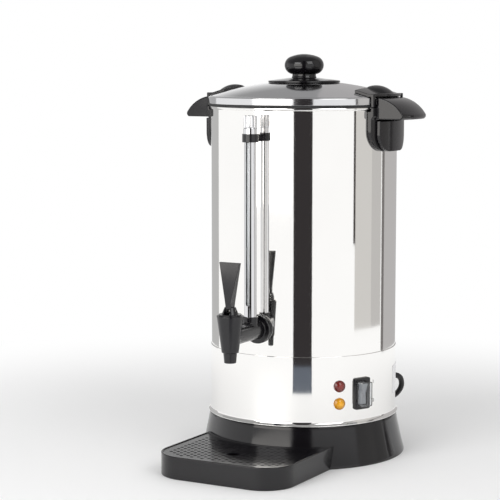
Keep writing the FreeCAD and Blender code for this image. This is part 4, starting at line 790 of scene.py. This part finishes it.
@dataclass(frozen=True)
class Base:
    """The flared black base ring and the pieces under it."""

    foot: float = 124.5
    top: float = 114.4
    skirt: float = 1.5
    shoulder: float = 1.7
    flare: float = 420.0
    height: float = 49.2
    wall: float = 5.0
    flange: float = 9.0
    plate_low: float = 3.2

    def build(self) -> None:
        """Turn the ring: a flat foot, a hollow flare, a rounded shoulder and the flange under the band."""
        step = self.height - self.shoulder
        flare = arc_rows((self.foot, self.skirt), (self.top, step), self.flare, False, 20)
        inner = self.top - self.wall
        shape = np.concatenate([
            fillet([
                (self.foot - self.wall, 0, 0), (self.foot, 0, 0.5), (self.foot, self.skirt, 0),
            ], closed=False),
            flare[1:],
            fillet([
                (self.top, step, 0), (self.top - self.shoulder / 2, self.height, 0.9),
                (inner, self.height, 0), (inner, self.height - self.flange, 0),
                (self.foot - self.wall, self.plate_low, 0),
            ], closed=False)[1:],
        ])
        skin = Piece.lathe("base_ring_skin", shape)
        Piece.hand_over(skin, Body.URN, Finishes.BLACK_PHENOLIC, ["base_ring"])


@dataclass(frozen=True)
class Lid:
    """The spun lid, its knob and guard disc, and the two black lugs."""

    rim: float = 115.7
    sheet: float = 0.8
    low: float = 423.6
    rim_top: float = 431.0
    shoulder: float = 3.2
    dome_radius: float = 363.0
    shoulder_rise: float = 1.93
    skirt_outer: float = 110.9
    skirt_drop: float = 7.0
    hole: float = 3.05
    guard: float = 43.5
    guard_edge: float = 2.4
    guard_cone: float = 3.4
    neck: float = 15.2
    neck_height: float = 4.2
    ball: float = 23.7
    ball_height: float = 24.4
    ball_round: float = 11.0

    def dome(self, radius: np.ndarray | float, depth: float = 0.0) -> np.ndarray | float:
        """The height of the dome at a radius: a point of a sphere that passes over the shoulder."""
        ball, edge = self.dome_radius - depth, self.rim - self.shoulder
        centre = self.rim_top + self.shoulder_rise - math.sqrt(self.dome_radius**2 - edge**2)
        return centre + np.sqrt(ball**2 - np.square(radius))

    def build(self) -> None:
        """Make the lid sheet, guard, knob and lugs."""
        edge = self.rim - self.shoulder
        outer = np.linspace(edge, self.hole, 24)
        inner = outer[::-1]
        sheet = np.concatenate([
            fillet([
                (self.rim - 6, self.low, 0), (self.rim, self.low, 0.4), (self.rim, self.rim_top, 0),
            ], closed=False),
            arc_rows((self.rim, self.rim_top), (edge, float(self.dome(edge))), self.shoulder, True)[1:-1],
            np.stack([outer, self.dome(outer)], 1),
            np.stack([inner, self.dome(inner, self.sheet)], 1),
            [
                (self.rim - self.sheet, self.rim_top), (self.rim - self.sheet, self.low + self.sheet),
                (self.skirt_outer - self.sheet, self.low + self.sheet),
                (self.skirt_outer - self.sheet, self.low - self.skirt_drop),
                (self.skirt_outer, self.low - self.skirt_drop), (self.skirt_outer, self.low),
            ],
        ])
        Piece.hand_over(Piece.lathe("lid_sheet", sheet), Body.LID, Finishes.SPUN_STEEL, ["lid_shell"])
        self.build_knob()
        for side in ("right", "left"):
            lug = Piece.moulded(f"lid_lug_{side}_moulding", f"lid_lug_{side}", 0.5, 5)
            Piece.hand_over(lug, Body.LID, Finishes.BLACK_PHENOLIC)

    def build_knob(self) -> None:
        """Turn the guard disc, then the knob: a pinched neck and a flattened ball with a round edge."""
        under = np.linspace(self.hole, self.guard, 16)
        low = float(self.dome(self.guard)) + 0.3
        seat = np.interp(under, [self.hole, self.guard], [0.05, 0.3])
        top = low + self.guard_edge + self.guard_cone
        guard = np.concatenate([
            np.stack([under, self.dome(under) + seat], 1)[:-1],
            fillet([
                (self.guard - 3, low, 0), (self.guard, low, 0.9), (self.guard, low + self.guard_edge, 0.9),
                (self.neck + 2, top, 3.0), (self.hole, top, 0),
            ], closed=False)[1:],
        ])
        Piece.hand_over(
            Piece.lathe("knob_guard_disc", guard, 128), Body.LID, Finishes.BLACK_PHENOLIC, ["knob_guard"]
        )
        neck_top, pinch = top + self.neck_height, self.neck * 0.94
        ball_top = neck_top + self.ball_height
        centre = self.ball - self.ball_round
        middle = neck_top + math.sqrt(self.ball_round**2 - (pinch - centre) ** 2)
        short = ball_top - middle - self.ball_round
        deep = (centre**2 - short**2) / (2 * short)
        span = deep + short
        joint = (centre * (1 + self.ball_round / span), middle + self.ball_round * deep / span)
        shape = np.concatenate([
            [(0, top)],
            fillet([
                (self.neck - 1, top, 0), (self.neck, top, 0.3), (pinch, top + self.neck_height * 0.6, 3.0),
                (pinch, neck_top - 0.6, 0),
            ], closed=False),
            arc_rows((pinch, neck_top), joint, self.ball_round, True, 22),
            arc_rows(joint, (0, ball_top), span + self.ball_round, True, 10)[1:],
        ])
        Piece.hand_over(
            Piece.lathe("knob_ball", shape, 96, closed=False), Body.LID, Finishes.BLACK_PHENOLIC, ["lid_knob"]
        )


@dataclass(frozen=True)
class Handles:
    """The two moulded side handles with their covers."""

    face_mm: float = 0.7

    def build(self) -> None:
        """Relax each handle and cover into a soft-edged moulding."""
        for side in ("right", "left"):
            grip = Piece.moulded(f"handle_{side}_moulding", f"handle_{side}", self.face_mm, 6)
            Piece.hand_over(grip, Body.URN, Finishes.BLACK_PHENOLIC)
            cover = Piece.moulded(f"cover_{side}_moulding", f"handle_cover_{side}", self.face_mm * 0.8, 5)
            Piece.hand_over(cover, Body.URN, Finishes.BLACK_PHENOLIC)


@dataclass(frozen=True)
class Tap:
    """The black lever tap in front of the tank."""

    face_mm: float = 0.5

    def build(self) -> None:
        """Make the body, bonnet, lever and the outer washer that seals it."""
        body = Piece.moulded("tap_moulding", "tap_body", self.face_mm, 4)
        Piece.hand_over(body, Body.URN, Finishes.BLACK_NYLON)
        bonnet = Piece.copied("bonnet_moulding", "tap_bonnet", 0.35)
        Piece.hand_over(bonnet, Body.URN, Finishes.BLACK_NYLON)
        lever = Piece.copied("lever_moulding", "tap_lever", 0.5)
        Piece.hand_over(lever, Body.LEVER, Finishes.BLACK_NYLON)
        washer = Piece.copied("washer_outer_seal", "tap_washer_outer")
        Piece.hand_over(washer, Body.URN, Finishes.NUT_NYLON)


@dataclass(frozen=True)
class Gauge:
    """The sight gauge: glass in a slotted chrome tube, a collar on an arm and a fluted cap."""

    def build(self) -> None:
        """Copy the tube, glass, collar and cap with smooth shading and fine edges."""
        shield = Piece.copied("shield_tube", "gauge_shield")
        Piece.hand_over(shield, Body.URN, Finishes.CHROME)
        glass = Piece.copied("sight_tube", "gauge_glass")
        Piece.hand_over(glass, Body.URN, Finishes.SIGHT_GLASS)
        collar = Piece.copied("collar_arm", "gauge_collar", 0.35)
        Piece.hand_over(collar, Body.URN, Finishes.BLACK_NYLON)
        cap = Piece.copied("cap_fluted", "gauge_vent_cap", 0.25)
        Piece.hand_over(cap, Body.VENT_CAP, Finishes.CHROME)


@dataclass(frozen=True)
class Panel:
    """The two lamps, the rocker switch under its clear boot, and the blank label."""

    azimuth: float = 49.6
    wall: float = 113.4
    lamps: tuple[tuple[str, float], ...] = (("boil_lamp", 96.0), ("warm_lamp", 75.2))
    lens: float = 7.0
    dome: float = 3.6
    flange: float = 1.2
    stem: float = 5.2
    stem_length: float = 14.0

    def build(self) -> None:
        """Turn the lamps and copy the switch."""
        for name, height in self.lamps:
            self.build_lamp(name, height)
        frame = Piece.copied("switch_surround", "switch_frame", 0.6)
        Piece.hand_over(frame, Body.URN, Finishes.BLACK_PHENOLIC)
        rocker = Piece.copied("rocker_moulding", "switch_rocker", 0.4)
        Piece.hand_over(rocker, Body.ROCKER, Finishes.ROCKER_WHITE)
        boot = Piece.copied("boot_vinyl", "switch_boot", 0.3)
        Piece.hand_over(boot, Body.URN, Finishes.BOOT_VINYL)
        label = Piece.copied("label_blank", "rating_label")
        Piece.hand_over(label, Body.URN, Finishes.LABEL_FILM)

    def build_lamp(self, name: str, height: float) -> None:
        """Turn a lamp: a stem, a flange that rests on the band, and a low dome.

        Args:
            name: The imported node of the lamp.
            height: The height of its axis.
        """
        curve = (self.lens**2 + self.dome**2) / (2 * self.dome)
        top = self.flange + self.dome
        shape = np.concatenate([
            [(0, -self.stem_length)],
            fillet([
                (self.stem, -self.stem_length, 0), (self.stem, 0.05, 0), (self.lens, 0.05, 0.2),
                (self.lens, self.flange, 0),
            ], closed=False),
            arc_rows((self.lens, self.flange), (0, top), curve, True, 14)[1:],
        ])
        frame = radial(self.azimuth, self.wall, height)
        centre = tuple(moved(np.array([[0.0, 0.0, 2.0]]), frame)[0].tolist())
        # The red lamp is off: its lighter middle and faint glow are a painted highlight. The amber lamp is
        # lit, and its glow is its neon.
        red = name == "boil_lamp"
        finish = Lens(
            f"{name}_lens", "red_lens" if red else "amber_lens", "8E2A22" if red else "F2B010",
            "5E140F" if red else "B97C06", 0.12 if red else 0.35, centre,
        )
        Piece.hand_over(
            Piece.lathe(f"{name}_dome", shape, SMALL_STEPS, frame, closed=False), Body.URN, finish, [name]
        )


@dataclass(frozen=True)
class Tray:
    """The drip tray that hooks round the base, and its perforated grid."""

    half: float = 84.5
    front: float = 221.0
    corner: float = 38.0
    foot: float = 124.5
    skirt: float = 1.5
    lean: float = 0.22
    hollow: float = 0.66
    gap: float = 0.6
    height: float = 26.5
    rim: float = 2.6
    ledge: float = 2.4
    ledge_top: float = 23.3
    floor: float = 2.2
    flare_tall: float = 46.0
    deepest: float = 8.0

    def behind(self, inset: np.ndarray, height: np.ndarray) -> np.ndarray:
        """The radius of the hollow back for each row of the profile.

        Outside it follows the base's flare, a lean that sags a little in its middle. Inside it runs
        from the flare at the rim to the base's foot at the ledge.

        Args:
            inset: How far in, one value per row of the profile.
            height: The height of each row.

        Returns:
            One radius per row.
        """
        part = np.clip((height - self.skirt) / self.flare_tall, 0, 1)
        flare = self.foot - self.flare_tall * self.lean * part - 4 * self.hollow * part * (1 - part)
        outside = flare + self.gap + inset
        ledge = self.foot - self.lean * (self.ledge_top - self.skirt)
        order = np.argsort(height)
        top = float(np.interp(self.height, height[order], flare[order]))
        inside = self.gap + np.interp(
            inset, [0, self.rim, self.rim + self.ledge, self.deepest],
            [top, ledge + self.rim, self.foot + self.rim + self.ledge, self.foot + self.deepest],
        )
        last = int(np.flatnonzero(inset < 1e-6)[-1])
        return np.where(np.arange(len(inset)) <= last, outside, inside)

    def outline(self, inset: np.ndarray, back: np.ndarray) -> np.ndarray:
        """The tray's outline from above, drawn in by an inset for each row.

        It runs along the front, round the right corner, up the side, along the hollow back and down
        the left side. Straight sides are lines between the ends of the arcs.

        Args:
            inset: How far in, one value per row of the profile.
            back: The radius of the hollow back, one value per row.

        Returns:
            Points in an array of outline by profile by two.
        """
        wide, front, corner = self.half - inset, self.front - inset, np.maximum(self.corner - inset, 2.0)
        meet = np.sqrt(back**2 - wide**2)
        quarter = np.linspace(0, np.pi / 2, 15)[:, None]
        along = np.linspace(0, 1, 9)[:, None]
        right = np.stack([
            wide - corner + corner * np.sin(quarter), corner - front - corner * np.cos(quarter)
        ], -1)
        down = (corner - front) * (1 - along) - meet * along
        side = np.stack([np.broadcast_to(wide, down.shape), down], -1)
        spread = np.arcsin(wide / back)
        sweep = np.linspace(1, -1, 49)[:, None] * spread
        hollow = np.stack([back * np.sin(sweep), -back * np.cos(sweep)], -1)
        flip = np.array([-1.0, 1.0])
        return np.concatenate([right, side[1:-1], hollow, (side * flip)[::-1][1:-1], (right * flip)[::-1]])

    def build(self) -> None:
        """Carry the wall's profile round the outline, from the middle of the floor to its underside."""
        far = 5 * self.deepest
        shape = held(fillet([
            (far, 0, 0), (0, 0, 1.2), (0, self.height, 0.9), (self.rim, self.height, 0.7),
            (self.rim, self.ledge_top, 0.3), (self.rim + self.ledge, self.ledge_top, 0.4),
            (self.rim + self.ledge, self.floor, 2.0), (far, self.floor, 0),
        ], closed=False), False)
        inset, height = shape[:, 0], shape[:, 1]
        inset = np.minimum(inset, self.deepest)
        flat = self.outline(inset, self.behind(inset, height))
        rows = np.concatenate([flat, np.broadcast_to(height, flat.shape[:2])[..., None]], 2)
        tray = Piece.from_grid("tray_moulding", rows[:, 1:-1])
        work = bmesh.new()
        work.from_mesh(tray.data)
        bmesh.ops.holes_fill(work, edges=[edge for edge in work.edges if edge.is_boundary], sides=0)
        bmesh.ops.recalc_face_normals(work, faces=work.faces)
        work.to_mesh(tray.data)
        work.free()
        Piece.smooth(tray.data)
        Piece.hand_over(tray, Body.TRAY, Finishes.BLACK_PHENOLIC, ["drip_tray"])
        grid = Piece.copied("grid_moulding", "drip_grid", 0.3)
        Piece.hand_over(grid, Body.GRID, Finishes.BLACK_GRID)


@dataclass(frozen=True)
class Lead:
    """The mains lead: strain relief, free run, put-away coil, tie and plug."""

    radius: float = 3.5
    azimuth: float = 153.0
    wall: float = 113.4
    height: float = 75.5
    gland_length: float = 20.0
    route: tuple[tuple[float, float, float], ...] = (
        (68.4, 134.2, 75.5),
        (69.9, 143.1, 62.7),
        (63.5, 147.2, 49.4),
        (48.2, 151.2, 38.6),
        (30.4, 163.8, 28.5),
        (6.0, 180.0, 19.0),
        (-13.0, 196.0, 10.5),
        (-31.0, 208.0, 5.6),
        (-55.0, 213.0, 4.6),
    )
    centre: tuple[float, float] = (-86.0, 165.0)
    inner: float = 29.0
    pitch: float = 7.6
    turns: float = 5.0
    lift: float = 4.6
    tail: float = 28.0
    per_turn: int = 20
    length: float = 1.47

    def coil(self) -> np.ndarray:
        """The coil's line: it winds in, climbs one layer in the half turn at its middle, and winds out."""
        turn = np.linspace(0, self.turns, int(self.turns * self.per_turn) + 1)
        middle = self.turns / 2
        radius = self.inner + self.pitch * np.abs(turn - middle)
        climb = np.clip((turn - middle) * 2 + 0.5, 0, 1)
        angle = np.pi / 2 + 2 * np.pi * turn
        return np.stack([
            self.centre[0] + radius * np.cos(angle), self.centre[1] + radius * np.sin(angle),
            self.lift + self.pitch * climb,
        ], 1)

    def build(self) -> None:
        """Draw the lead as one smooth spline and dress what is on it."""
        start = moved(np.zeros((1, 3)), radial(self.azimuth, self.wall + self.gland_length, self.height))
        coil = self.coil()
        tail = coil[-1] - np.array([[self.tail, 0, 0]])
        points = np.concatenate([start, np.array(self.route), coil, tail]) * MM
        curve = bpy.data.curves.new("mains_lead", "CURVE")
        curve.dimensions = "3D"
        spline = curve.splines.new("NURBS")
        spline.points.add(len(points) - 1)
        spline.points.foreach_set("co", np.concatenate([points, np.ones((len(points), 1))], 1).ravel())
        spline.order_u = 3
        spline.use_endpoint_u = True
        spline.resolution_u = 5
        curve.bevel_depth = self.radius * MM
        curve.bevel_resolution = 4
        curve.use_fill_caps = True
        lead = bpy.data.objects.new("mains_lead", curve)
        bpy.context.scene.collection.objects.link(lead)
        Piece.hand_over(lead, Body.URN, Finishes.CABLE_SHEATH, ["lead_run", "lead_coil"])
        gland = self.build_gland()
        tie = Piece.copied("coil_tie_band", "coil_tie", 0.25)
        Piece.hand_over(tie, Body.URN, Finishes.NUT_NYLON)
        plug = Piece.moulded("plug_moulding", "plug_body", 0.7, 6)
        Piece.hand_over(plug, Body.URN, Finishes.CABLE_SHEATH)
        pins = Piece.copied("plug_pin_set", "plug_pins", 0.4)
        Piece.hand_over(pins, Body.URN, Finishes.BRASS)

    def build_gland(self) -> bpy.types.Object:
        """Turn the strain relief: a flange, then a taper with shallow rings cut into it."""
        rings = 5
        places = np.linspace(5.0, 18.0, 2 * rings + 1)
        cuts = np.where(np.arange(2 * rings + 1) % 2, 0.7, 0.0)
        taper = np.interp(places, [3.6, self.gland_length], [6.4, 4.4]) - cuts
        shape = np.concatenate([
            [(0, -8.0), (6.4, -8.0), (6.4, 0.4)],
            fillet([
                (6.4, 0.4, 0), (9.0, 0.4, 0.5), (9.0, 3.0, 0.8), (6.6, 3.4, 0.4), (6.4, 4.4, 0),
            ], closed=False)[1:],
            np.stack([taper, places], 1),
            [(4.4, self.gland_length - 0.8), (4.1, self.gland_length), (0, self.gland_length)],
        ])
        frame = radial(self.azimuth, self.wall, self.height)
        gland = Piece.lathe("strain_relief", shape, 48, frame, closed=False)
        return Piece.hand_over(gland, Body.URN, Finishes.CABLE_SHEATH, ["lead_gland"])


class Leftovers:
    """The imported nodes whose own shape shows: each gets its finish."""

    FINISHES: dict[str, Moulded | Metal | Clear] = {
        "base_plate": Finishes.PLATED_STEEL,
        "base_screws": Finishes.PLATED_STEEL,
        "base_feet": Finishes.FOOT_RUBBER,
        "tie_rods": Finishes.PLATED_STEEL,
        "rod_nuts": Finishes.PLATED_STEEL,
        "heater_plate": Finishes.CAST_PLATE,
        "boil_element": Finishes.PLATED_STEEL,
        "keep_warm_element": Finishes.PLATED_STEEL,
        "boil_thermostat": Finishes.CAST_PLATE,
        "safety_cutout": Finishes.CAST_PLATE,
        "terminal_block": Finishes.UREA,
        "lug_rivets": Finishes.PLATED_STEEL,
        "knob_bolt": Finishes.PLATED_STEEL,
        "handle_bolts": Finishes.PLATED_STEEL,
        "handle_nuts": Finishes.PLATED_STEEL,
        "tap_washer_inner": Finishes.SILICONE,
        "tap_nut": Finishes.NUT_NYLON,
        "lever_pin": Finishes.PLATED_STEEL,
        "valve_cup": Finishes.SILICONE,
        "valve_stem": Finishes.PLATED_STEEL,
        "gauge_seals": Finishes.SILICONE,
        "gauge_bolt": Finishes.PLATED_STEEL,
        "lamp_nuts": Finishes.NUT_NYLON,
    }

    def dress(self) -> None:
        """Give each node its finish."""
        for node, finish in self.FINISHES.items():
            Finishes.use(NODES[node], finish, own=False)
            LOG.info("%s keeps its own shape", node)


@dataclass(frozen=True)
class Card:
    """A curved card that only mirror surfaces see.

    The angles are degrees of azimuth from the camera's own, positive to the picture's right.
    """

    name: str
    start: float
    end: float
    radius: float
    low: float
    high: float
    colour: str
    strength: float = 1.0


@dataclass(frozen=True)
class Studio:
    """The camera, the pale floor, the lamps and the cards that the polished steel mirrors."""

    away: float = 2044.8
    azimuth: float = 27.5
    eye: float = 474.5
    pitch: float = 0.112
    yaw: float = -0.032
    lens: float = 121.07
    cards: tuple[Card, ...] = (
        Card("window", -60.0, -14.0, 1500.0, 190.0, 900.0, "FFFCF8", 3.0),
        Card("doorway", -11.3, 9.7, 760.0, 0.0, 1600.0, "343132"),
        Card("thin_stand", 59.0, 61.7, 760.0, 190.0, 1600.0, "4A4645"),
        Card("near_wall", 62.6, 88.0, 1100.0, 0.0, 1600.0, "CFCDCA"),
        Card("next_wall", 88.0, 106.0, 1100.0, 0.0, 1600.0, "BFBDBB"),
        Card("door_frame", 105.4, 111.0, 760.0, 10.0, 1600.0, "767372"),
        Card("far_wall", 111.0, 176.0, 760.0, 10.0, 1600.0, "B6B4B4"),
        Card("left_wall", -158.0, -123.0, 760.0, 10.0, 1600.0, "B8B8B8"),
    )
    doormat: tuple[float, float, str] = (548.0, 760.0, "646A74")

    def build(self) -> None:
        """Set up the view and the light."""
        self.place_camera()
        self.place_floor()
        self.place_cards()
        self.place_lamps()
        self.light_world()
        bpy.context.scene.view_settings.view_transform = "Standard"

    def place_camera(self) -> None:
        """Stand the camera where the photograph was taken from."""
        alpha = math.radians(self.azimuth)
        side = Vector((math.cos(alpha), math.sin(alpha), 0))
        ahead = Vector((-math.sin(alpha), math.cos(alpha), 0))
        look = (
            side * math.sin(self.yaw) * math.cos(self.pitch)
            + ahead * math.cos(self.yaw) * math.cos(self.pitch)
            - Vector((0, 0, 1)) * math.sin(self.pitch)
        )
        right = look.cross(Vector((0, 0, 1))).normalized()
        up = right.cross(look)
        turn = Matrix((right, up, -look)).transposed().to_4x4()
        camera = bpy.data.objects.new("view", bpy.data.cameras.new("view"))
        camera.data.lens = self.lens
        camera.data.sensor_width = 36.0
        camera.data.clip_end = 100.0
        spot = Vector((self.away * math.sin(alpha), -self.away * math.cos(alpha), self.eye)) * MM
        camera.matrix_world = Matrix.Translation(spot) @ turn
        bpy.context.scene.collection.objects.link(camera)
        bpy.context.scene.camera = camera

    def place_floor(self) -> None:
        """Lay a wide floor: pale and shaded near the urn, and the background's white farther out."""
        reach = 9000.0
        corners = np.array([(-reach, -reach, 0), (reach, -reach, 0), (reach, reach, 0), (-reach, reach, 0)])
        floor = Piece.from_faces("floor", corners, [(0, 1, 2, 3)])
        bench = Bench("pale_floor")
        away = bench.add("VectorMath", {"operation": "LENGTH"}, i0=bench.add("TexCoord").outputs["Object"])
        far = bench.add(
            "MapRange", {"interpolation_type": "SMOOTHSTEP"}, Value=away.outputs["Value"],
            From_Min=0.28, From_Max=0.9, To_Min=0.0, To_Max=1.0,
        )
        share = bench.add("Math", {"operation": "MULTIPLY"}, i0=bench.seen(), i1=far.outputs["Result"])
        near = bench.add("BsdfPrincipled", Base_Color=linear("F4F4F4"), Roughness=0.6, Specular_IOR_Level=0.2)
        white = bench.add("Emission", Color=linear("FFFFFF"), Strength=1.0)
        mix = bench.add("MixShader", i0=share.outputs[0], i1=near.outputs[0], i2=white.outputs[0])
        floor.data.materials.append(bench.show(mix))

    def place_cards(self) -> None:
        """Stand curved cards round the urn, and lay one on the floor in front of the darkest."""
        for card in self.cards:
            ring = self.arc(card.start, card.end, card.radius)
            rows = np.stack([
                np.concatenate([ring, np.full((16, 1), level)], 1) for level in (card.low, card.high)
            ], 1)
            sheet = Piece.from_grid(f"card_{card.name}", rows, round_u=False)
            self.show_in_mirrors(sheet, card.colour, card.strength)
        near, far, colour = self.doormat
        rows = np.stack([
            np.concatenate([self.arc(-11.3, 9.7, size), np.full((16, 1), 2.0)], 1)
            for size in (near, far)
        ], 1)
        self.show_in_mirrors(Piece.from_grid("card_mat", rows, round_u=False), colour)

    def arc(self, start: float, end: float, radius: float) -> np.ndarray:
        """Sixteen points at a radius from one azimuth to another."""
        angles = np.radians(self.azimuth + np.linspace(start, end, 16))
        return np.stack([radius * np.sin(angles), -radius * np.cos(angles)], 1)

    @staticmethod
    def show_in_mirrors(card: bpy.types.Object, colour: str, strength: float = 1.0) -> None:
        """Give a card an even glow that only glossy rays see."""
        bench = Bench(card.name)
        card.data.materials.append(bench.show(bench.add("Emission", Color=linear(colour), Strength=strength)))
        card.visible_camera = False
        card.visible_diffuse = False
        card.visible_shadow = False
        card.visible_transmission = False

    def place_lamps(self) -> None:
        """Hang two soft panels, a broad one at the left and a weaker one at the right."""
        for name, spot, size, power in (
            ("key", (-480.0, -2150.0, 1050.0), 1400.0, 26.0),
            ("fill", (1900.0, -900.0, 1700.0), 1300.0, 14.0),
        ):
            lamp = bpy.data.lights.new(name, "AREA")
            lamp.energy, lamp.size = power, size * MM
            holder = bpy.data.objects.new(name, lamp)
            place = Vector(spot) * MM
            aim = Vector((0, 0, 0.2)) - place
            turn = aim.to_track_quat("-Z", "Y").to_matrix().to_4x4()
            holder.matrix_world = Matrix.Translation(place) @ turn
            bpy.context.scene.collection.objects.link(holder)

    def light_world(self) -> None:
        """Light the world: even for matt surfaces, white with a grey ceiling to all other rays."""
        bench = Bench("studio", world=True)
        split = bench.add("SeparateXYZ", i0=bench.add("TexCoord").outputs["Generated"])
        ramp = bench.add(
            "MapRange", Value=split.outputs["Z"], From_Min=0.1, From_Max=0.42, To_Min=1.0, To_Max=0.34
        ).outputs["Result"]
        ceiling = bench.add("CombineColor", Red=ramp, Green=ramp, Blue=ramp)
        soft = bench.add("Background", Color=linear("FFFFFF"), Strength=0.7)
        bright = bench.add("Background", Color=ceiling.outputs[0], Strength=1.0)
        mix = bench.add("MixShader", i0=bench.seen(), i1=soft.outputs[0], i2=bright.outputs[0])
        bpy.context.scene.world = bench.show(mix)


def corners(box: object) -> list:
    """Turn a box into plain lists of numbers."""
    return [[float(value) for value in corner] for corner in box]


def main() -> None:
    """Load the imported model, build every piece, and finish."""
    logging.basicConfig(level=logging.INFO, format="%(name)s: %(message)s")
    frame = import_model()
    NODES.update(frame["nodes"])
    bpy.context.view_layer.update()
    Studio().build()
    for maker in (Lead(), Tank(), Band(), Base(), Lid(), Handles(), Tap(), Gauge(), Panel(), Tray()):
        maker.build()
    Leftovers().dress()


if __name__ == "__main__":
    main()
